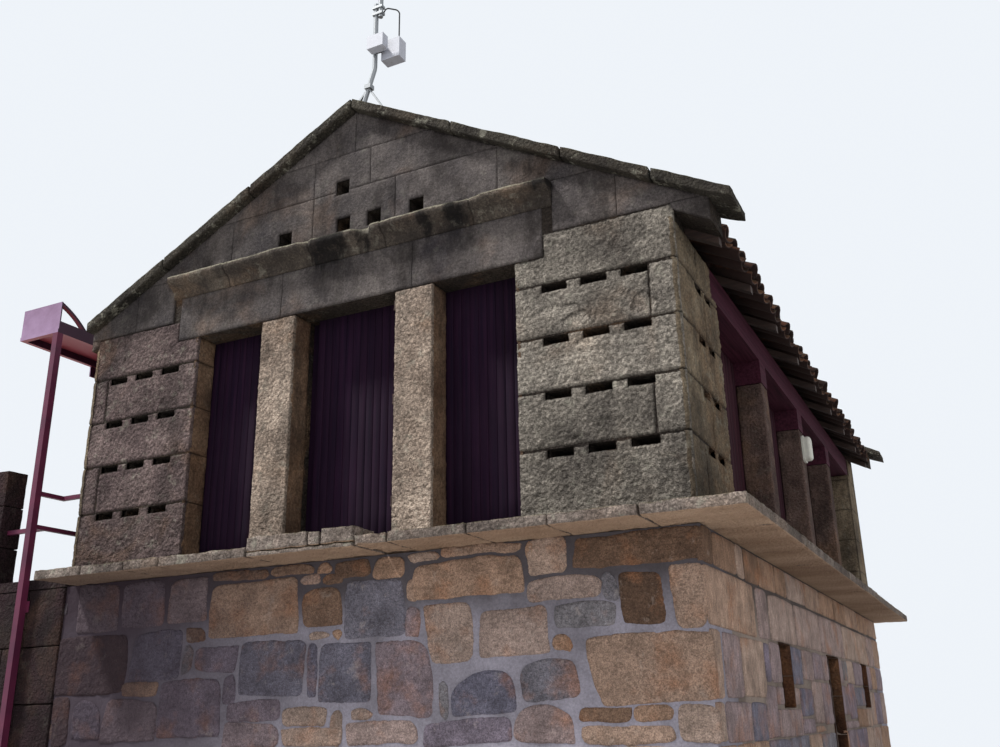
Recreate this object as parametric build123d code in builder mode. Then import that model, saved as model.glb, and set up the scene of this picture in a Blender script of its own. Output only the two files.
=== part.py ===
from build123d import *
import os

# A granite granary: an upper chamber with slotted walls on a stone ground room, in millimetres.
# +X runs to the right along the gable front, +Y to the back and +Z up.
# The origin is on the ground, under the middle of the chamber's front wall face.

os.makedirs("parts", exist_ok=True)

# Chamber: plan and walls
chamber_width = 5200
wall_thickness = 300
side_bay = 1430
side_pillar_length = 230
side_pillar_depth = 228
side_pillar_count = 3
front_return_end = 1022
back_return_length = 520

# Ground room
base_height = 2660
base_wall_thickness = 550
base_proud = 20
doorway_start = 3965
doorway_width = 640
doorway_height = 2079
window_starts = (1883, 6214)
window_width = 388
window_height = 450

# Ledge that stands out round the chamber's foot
ledge_thickness = 80
ledge_front_overhang = 425
ledge_side_overhang = 406
ledge_back_overhang = 300
ledge_left_end = 2540
raised_slab_left = -457
raised_slab_right = 430
raised_slab_height = 68
raised_slab_back = -20
chamber_floor_overlap = 230
joist_count = 9
joist_width = 120
joist_depth = 160

# Courses of the chamber's walls, measured up from the ledge
course_tops = (499, 895, 1282, 1669)
lintel_seat = 1881
pier_top = 2057
lintel_height = 379
lintel_bearing = 203
cornice_height = 190
cornice_projection = 130
cornice_overrun = 80
middle_door_width = 962
side_door_width = 699
door_pillar_width = 287

# Ventilation slots and gable vents
slot_width = 185
slot_height = 58
slot_first = 275
slot_pitch = 289
slots_per_row = 3
return_slot_width = 180
return_slot_centres = (510, 750)
vent_size = 127
vent_row_height = 2555
vent_row_places = (-605, -34, 253, 638)
vent_top_height = 2894
vent_top_place = -52

# Gable and coping
ridge_shift = 60
coping_rise = 1385
coping_eave_height = 2266
coping_depth = 96
coping_front_overhang = 110
coping_back_overhang = 30
coping_right_overrun = 428
coping_left_overrun = 100
coping_nose = 20
coping_end_depth = 72
kneeler_right_reach = 258
kneeler_left_reach = 90
kneeler_drop = 46
kneeler_lip = 8
kneeler_depth = 155

# Upper doors
door_recess = 210
door_thickness = 50
middle_door_gap = 95
jamb_setback = 60
pintle_radius = 9
pintle_length = 70
pintle_reach = 32
pintle_heights = (262, 1008, 1740)

# Timber side walls
stone_pillar_height = 1525
wall_plate_height = 233
pillar_block_height = 203
wall_plate_bearing = 122
timber_board_thickness = 40

# Roof
roof_eave_overhang = 230
rafter_count = 9
rafter_width = 70
rafter_depth = 60
ridge_beam_width = 120
ridge_beam_depth = 180
tile_depth = 125
tile_below_coping = 120
ridge_tile_radius = 120
ridge_tile_wall = 20

# Ground door
door_leaf_setback = 90
door_leaf_thickness = 50
door_leaf_bottom_gap = 12
door_leaf_top_gap = 8
door_leaf_hinge_gap = 8
door_leaf_lock_gap = 10
hinge_from_jamb = 20
hinge_from_leaf = 20
hinge_pin_radius = 8
hinge_eye_radius = 15
hinge_play = 0.4
hinge_eye_height = 60
hinge_rest_gap = 0.3
hinge_heights = (380, 1640)
hinge_shoulder_height = 20
hinge_pin_spare = 8
strap_thickness = 12
strap_length = 420
shutter_thickness = 45
shutter_setback = 260

# Landing at the left end
landing_width = 1185
landing_depth = 1240
landing_projection = 40
landing_pier_width = 294
landing_pier_depth = 208
landing_pier_height = 1000

# Steel porch over the landing
porch_tube = 60
porch_post_offset = 455
porch_post_gap = 5
porch_clear_height = 2195
porch_width = 490
porch_back_margin = 40
porch_beam_depth = 110
porch_beam_width = 40
porch_sheet = 6
fascia_height = 297
fascia_thickness = 12
fascia_lip_height = 34
fascia_lip = 6
hoop_run = 300
hoop_depth = 26
hoop_bulge = 14
hanger_width = 110
hanger_height = 105
hanger_place = 745
rail_tube = 36
upper_rail_height = 735
lower_rail_height = 450
upper_rail_turn = 211

# Mast on the gable's apex
mast_x = 150
mast_y = 100
mast_foot_x = 34
mast_foot_lift = 12
mast_tube_radius = 20
mast_bend_height = 372
mast_bend_radius = 150
mast_lower_top = 1024
mast_upper_radius = 21
mast_upper_offset = 44
mast_upper_bottom = 880
mast_upper_top = 1500
mast_saddle_width = 60
mast_saddle_thickness = 8
mast_saddle_reach = 260
mast_strut_width = 30
mast_strut_depth = 14
mast_strut_top = 205
mast_collar_height = 40
mast_clamp_height = 24
mast_clamp_heights = (535, 600, 905, 970)
mast_clamp_margin = 6
small_box_size = (155, 80, 125)
small_box_height = 502
small_box_shift = 62
large_box_size = (178, 105, 190)
large_box_height = 454
large_box_shift = 131
lead_radius = 6
lead_loop_rise = 310
lead_start_rise = 37

# Side lamp
lamp_height = 270
lamp_width = 150
lamp_depth = 85
lamp_base_depth = 20
lamp_below_top = 190

# Places worked out from the sizes above
half = chamber_width / 2
ledge_top = base_height + ledge_thickness
side_wall_end = (
    front_return_end
    + (side_pillar_count + 1) * side_bay
    + side_pillar_count * side_pillar_length
)
chamber_length = side_wall_end + back_return_length
base_half = half + base_proud
base_back = chamber_length + base_proud
door_opening_half = middle_door_width / 2
pier_inner = door_opening_half + door_pillar_width + side_door_width
lintel_half = pier_inner + lintel_bearing
gable_apex = ledge_top + coping_eave_height + coping_rise
plate_top = ledge_top + stone_pillar_height + pillar_block_height + wall_plate_height
sides = (("left", -1), ("right", 1))


def coping_top(x):
    """Height of the coping's top line over the gable at x."""
    reach = half - ridge_shift if x >= ridge_shift else half + ridge_shift
    return gable_apex - coping_rise * abs(x - ridge_shift) / reach


def finish(piece, label):
    """Label a piece and write it."""
    piece.part.label = label
    export_step(piece.part, f"parts/{label}.step")


def block(label, x_span, y_span, z_span):
    """A plain squared block between three pairs of limits."""
    with BuildPart() as piece:
        with BuildSketch(Plane.XY.offset(z_span[0])):
            with Locations(((x_span[0] + x_span[1]) / 2, (y_span[0] + y_span[1]) / 2)):
                Rectangle(abs(x_span[1] - x_span[0]), abs(y_span[1] - y_span[0]))
        extrude(amount=z_span[1] - z_span[0])
    finish(piece, label)


def side_span(side, inner, outer):
    """X limits of something on one side, from its inner and outer distances to the middle."""
    return tuple(sorted((side * inner, side * outer)))


def cut_across(x_centre, z_centre, width, height, y_span):
    """Cut a hole along Y through the open part."""
    with Locations((x_centre, (y_span[0] + y_span[1]) / 2, z_centre)):
        Box(width, y_span[1] - y_span[0], height, mode=Mode.SUBTRACT)


def cut_sideways(y_centre, z_centre, width, height, x_span):
    """Cut a hole along X through the open part."""
    with Locations(((x_span[0] + x_span[1]) / 2, y_centre, z_centre)):
        Box(x_span[1] - x_span[0], width, height, mode=Mode.SUBTRACT)


def slot_centres(side):
    """X of the slots in one pier."""
    return [side * (pier_inner + slot_first + n * slot_pitch) for n in range(slots_per_row)]


def course_height(n):
    """Height of the top of a slotted course above the ground."""
    return ledge_top + course_tops[n]


# Ground room walls
inner_half = base_half - base_wall_thickness
inner_front = base_wall_thickness - base_proud
inner_back = base_back - base_wall_thickness
doorway_end = doorway_start + doorway_width
window_centre = doorway_height - window_height / 2

block("base_front_wall", (-base_half, base_half), (-base_proud, inner_front), (0, base_height))
block("base_back_wall", (-base_half, base_half), (inner_back, base_back), (0, base_height))
block(
    "base_door_head",
    (inner_half, base_half),
    (doorway_start, doorway_end),
    (doorway_height, base_height),
)
base_lengths = (
    ("base_left_wall", -1, inner_front, inner_back, window_starts),
    ("base_right_wall_front", 1, inner_front, doorway_start, window_starts[:1]),
    ("base_right_wall_back", 1, doorway_end, inner_back, window_starts[1:]),
)
for label, side, y_start, y_end, starts in base_lengths:
    x_low, x_high = side_span(side, inner_half, base_half)
    with BuildPart() as base_wall:
        with BuildSketch(Plane.XY):
            with Locations(((x_low + x_high) / 2, (y_start + y_end) / 2)):
                Rectangle(base_wall_thickness, y_end - y_start)
        extrude(amount=base_height)
        for start in starts:
            middle = start + window_width / 2
            cut_sideways(middle, window_centre, window_width, window_height, (x_low, x_high))
    finish(base_wall, label)

# Boards that close the ground room's small windows, deep in the wall
shutter_places = [(side, start) for side in (-1, 1) for start in window_starts]
with BuildPart() as base_shutters:
    for side, start in shutter_places:
        shutter_outer = base_half - shutter_setback
        shutter_x = side * (shutter_outer - shutter_thickness / 2)
        with BuildSketch(Plane.XY.offset(doorway_height - window_height)):
            with Locations((shutter_x, start + window_width / 2)):
                Rectangle(shutter_thickness, window_width)
        extrude(amount=window_height)
finish(base_shutters, "base_window_shutters")

# Ground door on two pintles
leaf_outer = base_half - door_leaf_setback
leaf_inner = leaf_outer - door_leaf_thickness
hinge_x = leaf_inner - hinge_from_leaf
hinge_y = doorway_start + hinge_from_jamb
leaf_start = doorway_start + door_leaf_hinge_gap
leaf_end = doorway_end - door_leaf_lock_gap
leaf_height = doorway_height - door_leaf_top_gap - door_leaf_bottom_gap

with BuildPart() as ground_door:
    with BuildSketch(Plane.XY.offset(door_leaf_bottom_gap)):
        with Locations(((leaf_outer + leaf_inner) / 2, (leaf_start + leaf_end) / 2)):
            Rectangle(door_leaf_thickness, leaf_end - leaf_start)
    extrude(amount=leaf_height)
    for height in hinge_heights:
        with BuildSketch(Plane.XY.offset(height)):
            with Locations((leaf_inner - strap_thickness / 2, hinge_y + strap_length / 2)):
                Rectangle(strap_thickness, strap_length)
            with Locations((hinge_x, hinge_y)):
                Circle(hinge_eye_radius)
            with Locations((hinge_x, hinge_y)):
                Circle(hinge_pin_radius + hinge_play, mode=Mode.SUBTRACT)
        extrude(amount=hinge_eye_height)
finish(ground_door, "ground_door")

with BuildPart() as door_pintles:
    for height in hinge_heights:
        shoulder = height - hinge_rest_gap
        with BuildSketch(Plane.XY.offset(shoulder - hinge_shoulder_height)):
            with Locations((hinge_x, (doorway_start + hinge_y) / 2)):
                Rectangle(2 * hinge_eye_radius, hinge_y - doorway_start)
            with Locations((hinge_x, hinge_y)):
                Circle(hinge_eye_radius)
        extrude(amount=hinge_shoulder_height)
        with BuildSketch(Plane.XY.offset(shoulder)):
            with Locations((hinge_x, hinge_y)):
                Circle(hinge_pin_radius)
        extrude(amount=hinge_eye_height + hinge_pin_spare)
finish(door_pintles, "ground_door_pintles")

# Ledge slabs
ledge_outer = half + ledge_side_overhang
slab_inner = base_half - base_wall_thickness + chamber_floor_overlap
slab_inner_front = inner_front - chamber_floor_overlap
slab_inner_back = inner_back + chamber_floor_overlap
ledge_front_edge = -ledge_front_overhang
ledge_back_edge = chamber_length + ledge_back_overhang
landing_back = landing_depth - landing_projection

ledge_outlines = {
    "ledge_front": [
        (-ledge_left_end, ledge_front_edge),
        (ledge_outer, ledge_front_edge),
        (ledge_outer, slab_inner_front),
        (-base_half, slab_inner_front),
        (-base_half, -landing_projection),
        (-ledge_left_end, -landing_projection),
    ],
    "ledge_back": [
        (-ledge_outer, slab_inner_back),
        (ledge_outer, slab_inner_back),
        (ledge_outer, ledge_back_edge),
        (-ledge_outer, ledge_back_edge),
    ],
    "ledge_right": [
        (slab_inner, slab_inner_front),
        (ledge_outer, slab_inner_front),
        (ledge_outer, slab_inner_back),
        (slab_inner, slab_inner_back),
    ],
    "ledge_left": [
        (-slab_inner, slab_inner_front),
        (-slab_inner, slab_inner_back),
        (-ledge_outer, slab_inner_back),
        (-ledge_outer, landing_back),
        (-base_half, landing_back),
        (-base_half, slab_inner_front),
    ],
}
for label, outline in ledge_outlines.items():
    with BuildPart() as slab:
        with BuildSketch(Plane.XY.offset(base_height)):
            with BuildLine():
                Polyline(*outline, close=True)
            make_face()
        extrude(amount=ledge_thickness)
    finish(slab, label)

# Slab laid on the ledge as a step before the middle door
block(
    "raised_slab",
    (raised_slab_left, raised_slab_right),
    (ledge_front_edge, raised_slab_back),
    (ledge_top, ledge_top + raised_slab_height),
)

# Board floor on joists, carried by the ground room's walls
joist_span = inner_back - inner_front
floor_x = (-slab_inner, slab_inner)
block("chamber_floor", floor_x, (slab_inner_front, slab_inner_back), (base_height, ledge_top))
with BuildPart() as floor_joists:
    with BuildSketch(Plane.XY.offset(base_height - joist_depth)):
        with Locations((0, (inner_front + inner_back) / 2)):
            with GridLocations(0, joist_span / joist_count, 1, joist_count):
                Rectangle(2 * inner_half, joist_width)
    extrude(amount=joist_depth)
finish(floor_joists, "floor_joists")

# Front piers, each one wall with three slots in every course
for name, side in sides:
    pier_outline = [
        (side * pier_inner, ledge_top),
        (side * half, ledge_top),
        (side * half, ledge_top + pier_top),
        (side * lintel_half, ledge_top + pier_top),
        (side * lintel_half, ledge_top + lintel_seat),
        (side * pier_inner, ledge_top + lintel_seat),
    ]
    with BuildPart() as pier:
        with BuildSketch(Plane.XZ.offset(-wall_thickness)):
            with BuildLine():
                Polyline(*pier_outline, close=True)
            make_face()
        extrude(amount=wall_thickness)
        for n in range(len(course_tops)):
            for x in slot_centres(side):
                slot_z = course_height(n) - slot_height / 2
                cut_across(x, slot_z, slot_width, slot_height, (0, wall_thickness))
    finish(pier, f"front_pier_{name}")

# Side returns behind the piers, notched for the wall plate
return_ends = (
    ("front", wall_thickness, front_return_end, 1),
    ("back", side_wall_end, chamber_length - wall_thickness, -1),
)
return_inner = half - side_pillar_depth
plate_bottom = plate_top - wall_plate_height
for end, y_start, y_end, towards in return_ends:
    notch_edge = y_end if towards > 0 else y_start
    for name, side in sides:
        x_low, x_high = side_span(side, return_inner, half)
        with BuildPart() as side_return:
            with BuildSketch(Plane.XY.offset(ledge_top)):
                with Locations(((x_low + x_high) / 2, (y_start + y_end) / 2)):
                    Rectangle(side_pillar_depth, y_end - y_start)
            extrude(amount=plate_top - ledge_top)
            notch_middle = notch_edge - towards * wall_plate_bearing / 2
            notch_height = (plate_bottom + plate_top) / 2
            bearing = (wall_plate_bearing, wall_plate_height)
            cut_sideways(notch_middle, notch_height, *bearing, (x_low, x_high))
            if towards > 0:
                for n in range(len(course_tops)):
                    for y in return_slot_centres:
                        slot_z = course_height(n) - slot_height / 2
                        cut_sideways(y, slot_z, return_slot_width, slot_height, (x_low, x_high))
        finish(side_return, f"{end}_return_{name}")

# Door pillars, lintel and cornice
for name, side in sides:
    pillar_span = side_span(side, door_opening_half, door_opening_half + door_pillar_width)
    block(f"door_pillar_{name}", pillar_span, (0, wall_thickness), (ledge_top, ledge_top + lintel_seat))
lintel_bottom = ledge_top + lintel_seat
cornice_bottom = lintel_bottom + lintel_height
cornice_top = cornice_bottom + cornice_height
cornice_half = lintel_half + cornice_overrun
block("front_lintel", (-lintel_half, lintel_half), (0, wall_thickness), (lintel_bottom, cornice_bottom))

with BuildPart() as front_cornice:
    with BuildSketch(Plane.YZ.offset(-cornice_half)):
        with BuildLine():
            Polyline(
                (wall_thickness, cornice_bottom),
                (0, cornice_bottom),
                (-0.15 * cornice_projection, cornice_bottom + 0.1 * cornice_height),
            )
            ThreePointArc(
                (-0.15 * cornice_projection, cornice_bottom + 0.1 * cornice_height),
                (-0.35 * cornice_projection, cornice_bottom + 0.45 * cornice_height),
                (-0.85 * cornice_projection, cornice_bottom + 0.55 * cornice_height),
            )
            Polyline(
                (-0.85 * cornice_projection, cornice_bottom + 0.55 * cornice_height),
                (-cornice_projection, cornice_bottom + 0.6 * cornice_height),
                (-cornice_projection, cornice_bottom + 0.92 * cornice_height),
                (0, cornice_top),
                (wall_thickness, cornice_top),
                (wall_thickness, cornice_bottom),
            )
        make_face()
    extrude(amount=2 * cornice_half)
finish(front_cornice, "front_cornice")


def gable_outline(notches):
    """Outline of a gable wall in the XZ plane, with its bottom cut to the given steps."""
    right_x = half + kneeler_right_reach
    left_x = -half - kneeler_left_reach
    shoulder = ledge_top + pier_top
    left = [
        (left_x, coping_top(left_x) - coping_depth),
        (left_x, coping_top(left_x) - coping_depth - kneeler_depth),
        (-half - kneeler_lip, shoulder - kneeler_drop),
        (-half, shoulder),
    ]
    right = [
        (half, shoulder),
        (half + kneeler_lip, shoulder - kneeler_drop),
        (right_x, coping_top(right_x) - coping_depth - kneeler_depth),
        (right_x, coping_top(right_x) - coping_depth),
    ]
    return left + notches + right + [(ridge_shift, gable_apex - coping_depth)]


def gable_wall(label, y_span, notches):
    """A gable wall with its small square vents."""
    with BuildPart() as gable:
        with BuildSketch(Plane.XZ.offset(-y_span[1])):
            with BuildLine():
                Polyline(*gable_outline(notches), close=True)
            make_face()
        extrude(amount=y_span[1] - y_span[0])
        for x in vent_row_places:
            cut_across(x, ledge_top + vent_row_height, vent_size, vent_size, y_span)
        cut_across(vent_top_place, ledge_top + vent_top_height, vent_size, vent_size, y_span)
    finish(gable, label)


shoulder_top = ledge_top + pier_top
front_steps = [
    (-lintel_half, shoulder_top),
    (-lintel_half, cornice_bottom),
    (-cornice_half, cornice_bottom),
    (-cornice_half, cornice_top),
    (cornice_half, cornice_top),
    (cornice_half, cornice_bottom),
    (lintel_half, cornice_bottom),
    (lintel_half, shoulder_top),
]
back_wall_front = chamber_length - wall_thickness
gable_wall("front_gable", (0, wall_thickness), front_steps)
gable_wall("back_gable", (back_wall_front, chamber_length), [])

# Closed back wall with the same slots
with BuildPart() as back_wall:
    with BuildSketch(Plane.XZ.offset(-chamber_length)):
        with Locations((0, ledge_top + pier_top / 2)):
            Rectangle(chamber_width, pier_top)
    extrude(amount=wall_thickness)
    for side in (-1, 1):
        for n in range(len(course_tops)):
            for x in slot_centres(side):
                slot_z = course_height(n) - slot_height / 2
                cut_across(x, slot_z, slot_width, slot_height, (back_wall_front, chamber_length))
finish(back_wall, "back_wall")


def raking_coping(label, y_span):
    """Coping over a gable, thinner at its right end."""
    right_end = half + coping_right_overrun
    kneeler_end = half + kneeler_right_reach
    left_end = -half - coping_left_overrun
    outline = [
        (ridge_shift, gable_apex),
        (right_end - coping_nose, coping_top(right_end - coping_nose)),
        (right_end, coping_top(right_end) - coping_end_depth / 2),
        (right_end - coping_nose, coping_top(right_end - coping_nose) - coping_end_depth),
        (kneeler_end, coping_top(kneeler_end) - coping_depth),
        (ridge_shift, gable_apex - coping_depth),
        (left_end, coping_top(left_end) - coping_depth),
        (left_end + coping_nose, coping_top(left_end + coping_nose)),
    ]
    with BuildPart() as coping:
        with BuildSketch(Plane.XZ.offset(-y_span[1])):
            with BuildLine():
                Polyline(*outline, close=True)
            make_face()
        extrude(amount=y_span[1] - y_span[0])
    finish(coping, label)


raking_coping("front_coping", (-coping_front_overhang, wall_thickness + coping_back_overhang))
raking_coping(
    "back_coping",
    (back_wall_front - coping_back_overhang, chamber_length + coping_front_overhang),
)

# Upper doors, fixed between the pillars
door_back = door_recess + door_thickness
door_height = (ledge_top, lintel_bottom)
left_door = (-pier_inner, -pier_inner + side_door_width)
right_door = (pier_inner - side_door_width, pier_inner)
block("front_door_left", left_door, (door_recess, door_back), door_height)
block("front_door_right", right_door, (door_recess, door_back), door_height)
middle_leaf_start = -door_opening_half + middle_door_gap
block("front_door_middle", (middle_leaf_start, door_opening_half), (door_recess, door_back), door_height)
block(
    "front_door_jamb",
    (-door_opening_half, middle_leaf_start),
    (door_back - door_thickness + jamb_setback, wall_thickness),
    door_height,
)

# Iron pintles left on the right door pillar
with BuildPart() as front_pintles:
    for height in pintle_heights:
        with BuildSketch(Plane.YZ.offset(door_opening_half - pintle_reach - pintle_radius)):
            with Locations((2 * pintle_radius, ledge_top + height)):
                Circle(pintle_radius)
        extrude(amount=pintle_reach + pintle_radius)
        with BuildSketch(Plane.XY.offset(ledge_top + height)):
            with Locations((door_opening_half - pintle_reach, 2 * pintle_radius)):
                Circle(pintle_radius)
        extrude(amount=pintle_length)
finish(front_pintles, "front_pintles")

# Long sides: stone pillars, boarded wall behind them and the painted wall plate over them
pillar_starts = [
    front_return_end + side_bay + n * (side_bay + side_pillar_length) for n in range(side_pillar_count)
]
pillar_centres = [start + side_pillar_length / 2 for start in pillar_starts]
pillar_x = half - side_pillar_depth / 2
stone_pillar_top = ledge_top + stone_pillar_height
for name, side in sides:
    with BuildPart() as side_pillars:
        with BuildSketch(Plane.XY.offset(ledge_top)):
            with Locations(*[(side * pillar_x, y) for y in pillar_centres]):
                Rectangle(side_pillar_depth, side_pillar_length)
        extrude(amount=stone_pillar_height)
    finish(side_pillars, f"side_pillars_{name}")

    plate_start = front_return_end - wall_plate_bearing
    plate_end = side_wall_end + wall_plate_bearing
    with BuildPart() as wall_plate:
        with BuildSketch(Plane.XY.offset(plate_bottom)):
            with Locations((side * pillar_x, (plate_start + plate_end) / 2)):
                Rectangle(side_pillar_depth, plate_end - plate_start)
        extrude(amount=wall_plate_height)
        with BuildSketch(Plane.XY.offset(stone_pillar_top)):
            with Locations(*[(side * pillar_x, y) for y in pillar_centres]):
                Rectangle(side_pillar_depth, side_pillar_length)
        extrude(amount=plate_bottom - stone_pillar_top)
    finish(wall_plate, f"wall_plate_{name}")

    boards_span = side_span(side, return_inner - timber_board_thickness, return_inner)
    block(f"timber_wall_{name}", boards_span, (plate_start, plate_end), (ledge_top, plate_top))

# Roof: rafters from the wall plates to the ridge, a beam under them and a bed of tiles on each slope
rafter_top_drop = tile_below_coping + tile_depth
rafter_low_drop = rafter_top_drop + rafter_depth
roof_front = wall_thickness
roof_back = back_wall_front
eave_x = half + roof_eave_overhang


def roof_line(x, drop):
    """A point of the XZ plane, a given drop under the coping's top line."""
    return (x, coping_top(x) - drop)


beam_edges = (ridge_shift - ridge_beam_width / 2, ridge_shift + ridge_beam_width / 2)
beam_top = min(coping_top(x) for x in beam_edges) - rafter_low_drop
block("ridge_beam", beam_edges, (roof_front, roof_back), (beam_top - ridge_beam_depth, beam_top))

rafter_step = (roof_back - roof_front - rafter_width) / (rafter_count - 1)
for name, side in sides:
    rafter_outline = [
        roof_line(side * eave_x, rafter_top_drop),
        roof_line(ridge_shift, rafter_top_drop),
        roof_line(ridge_shift, rafter_low_drop),
        roof_line(side * eave_x, rafter_low_drop),
    ]
    with BuildPart() as rafters:
        for n in range(rafter_count):
            with BuildSketch(Plane.XZ.offset(-(roof_front + rafter_width + n * rafter_step))):
                with BuildLine():
                    Polyline(*rafter_outline, close=True)
                make_face()
            extrude(amount=rafter_width)
    finish(rafters, f"rafters_{name}")

    tile_outline = [
        roof_line(side * eave_x, rafter_top_drop),
        roof_line(side * eave_x, tile_below_coping),
        roof_line(ridge_shift, tile_below_coping),
        roof_line(ridge_shift, rafter_top_drop),
    ]
    with BuildPart() as tile_bed:
        with BuildSketch(Plane.XZ.offset(-roof_back)):
            with BuildLine():
                Polyline(*tile_outline, close=True)
            make_face()
        extrude(amount=roof_back - roof_front)
    finish(tile_bed, f"roof_tiles_{name}")

ridge_inner = ridge_tile_radius - ridge_tile_wall
ridge_seat = max(coping_top(ridge_shift - ridge_inner), coping_top(ridge_shift + ridge_inner))
with BuildPart() as roof_ridge:
    with BuildSketch(Plane.XZ.offset(-(roof_back - coping_back_overhang))):
        with Locations((ridge_shift, ridge_seat - tile_below_coping)):
            Circle(ridge_tile_radius)
            Circle(ridge_inner, mode=Mode.SUBTRACT)
            Rectangle(
                2 * ridge_tile_radius,
                ridge_tile_radius,
                align=(Align.CENTER, Align.MAX),
                mode=Mode.SUBTRACT,
            )
    extrude(amount=roof_back - roof_front - 2 * coping_back_overhang)
finish(roof_ridge, "roof_ridge")

# Landing at the left end, with its low corner pier
porch_height = ledge_top + porch_clear_height
landing_span = (-base_half - landing_width, -base_half)
landing_y = (-landing_projection, landing_back)
block("landing_wall", landing_span, landing_y, (0, base_height))
block("landing_slab", landing_span, landing_y, (base_height, ledge_top))
block(
    "landing_pier",
    (landing_span[0], landing_span[0] + landing_pier_width),
    (landing_y[0], landing_y[0] + landing_pier_depth),
    (ledge_top, ledge_top + landing_pier_height),
)

# Steel porch: posts, a canopy tray with a deep front plate and two curved ribs, and rails
post_x = -base_half - porch_post_offset
front_post_y = -landing_projection - porch_post_gap - porch_tube / 2
back_post_y = landing_back - porch_back_margin - porch_tube / 2
canopy_right = post_x + porch_tube / 2
canopy_left = canopy_right - porch_width
outer_post_x = canopy_left + porch_tube / 2
canopy_front = front_post_y - porch_tube / 2 + fascia_lip
canopy_back = back_post_y + porch_tube / 2
collar_bottom = base_height - 3 * porch_tube
with BuildPart() as porch_posts:
    for x, y, foot in (
        (post_x, front_post_y, 0),
        (post_x, back_post_y, ledge_top),
        (outer_post_x, back_post_y, ledge_top),
    ):
        with BuildSketch(Plane.XY.offset(foot)):
            with Locations((x, y)):
                Rectangle(porch_tube, porch_tube)
        extrude(amount=porch_height - foot)
    with BuildSketch(Plane.XY.offset(collar_bottom)):
        with Locations((post_x, -landing_projection - porch_post_gap / 2)):
            Rectangle(2 * porch_tube, porch_post_gap)
    extrude(amount=1.5 * porch_tube)
finish(porch_posts, "porch_posts")

canopy_centre = ((canopy_left + canopy_right) / 2, (canopy_front + canopy_back) / 2)
canopy_length = canopy_back - canopy_front
with BuildPart() as porch_canopy:
    with BuildSketch(Plane.XY.offset(porch_height)):
        with Locations(canopy_centre):
            Rectangle(porch_width, canopy_length)
            Rectangle(
                porch_width - 2 * porch_beam_width,
                canopy_length - 2 * porch_beam_width,
                mode=Mode.SUBTRACT,
            )
    extrude(amount=porch_beam_depth)
    with BuildSketch(Plane.XY.offset(porch_height + 0.6 * porch_beam_depth)):
        with Locations(canopy_centre):
            Rectangle(porch_width, canopy_length)
    extrude(amount=porch_sheet)
    with BuildSketch(Plane.XY.offset(porch_height)):
        with Locations((canopy_centre[0], canopy_front + fascia_thickness / 2)):
            Rectangle(porch_width, fascia_thickness)
    extrude(amount=fascia_height)
    with BuildSketch(Plane.XY.offset(porch_height)):
        with Locations((canopy_centre[0], canopy_front - fascia_lip / 2)):
            Rectangle(porch_width, fascia_lip)
    extrude(amount=fascia_lip_height)
    with BuildSketch(Plane.XY.offset(porch_height - hanger_height)):
        with Locations((canopy_left + porch_beam_width / 2, hanger_place)):
            Rectangle(fascia_thickness, hanger_width)
    extrude(amount=hanger_height)
    hoop_top = (canopy_front, porch_height + fascia_height)
    hoop_foot = (canopy_front + hoop_run, porch_height + porch_beam_depth)
    hoop_middle = (
        (hoop_top[0] + hoop_foot[0]) / 2 + hoop_bulge,
        (hoop_top[1] + hoop_foot[1]) / 2 + hoop_bulge,
    )
    for x in (canopy_left, canopy_right - porch_beam_width):
        with BuildSketch(Plane.YZ.offset(x)):
            with BuildLine():
                ThreePointArc(hoop_top, hoop_middle, hoop_foot)
                Line(hoop_foot, (hoop_foot[0] - 1.5 * hoop_depth, hoop_foot[1]))
                ThreePointArc(
                    (hoop_foot[0] - 1.5 * hoop_depth, hoop_foot[1]),
                    (hoop_middle[0] - 0.7 * hoop_depth, hoop_middle[1] - 0.7 * hoop_depth),
                    (hoop_top[0], hoop_top[1] - 1.2 * hoop_depth),
                )
                Line((hoop_top[0], hoop_top[1] - 1.2 * hoop_depth), hoop_top)
            make_face()
        extrude(amount=porch_beam_width)
finish(porch_canopy, "porch_canopy")

upper_rail = ledge_top + upper_rail_height
lower_rail = ledge_top + lower_rail_height
rail_front = front_post_y + porch_tube / 2
rail_back = back_post_y - porch_tube / 2
pier_right = landing_span[0] + landing_pier_width
with BuildPart() as porch_rails:
    with BuildSketch(Plane.XY.offset(upper_rail - rail_tube / 2)):
        with BuildLine():
            Polyline(
                (post_x - rail_tube / 2, rail_front),
                (post_x + rail_tube / 2, rail_front),
                (post_x + rail_tube / 2, upper_rail_turn - rail_tube / 2),
                (-half, upper_rail_turn - rail_tube / 2),
                (-half, upper_rail_turn + rail_tube / 2),
                (post_x - rail_tube / 2, upper_rail_turn + rail_tube / 2),
                close=True,
            )
        make_face()
    extrude(amount=rail_tube)
    with BuildSketch(Plane.XY.offset(lower_rail - rail_tube / 2)):
        with Locations((post_x, (rail_front + rail_back) / 2)):
            Rectangle(rail_tube, rail_back - rail_front)
        with Locations(((pier_right + post_x) / 2, landing_pier_depth / 4)):
            Rectangle(post_x - pier_right, rail_tube)
    extrude(amount=rail_tube)
finish(porch_rails, "porch_rails")

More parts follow.
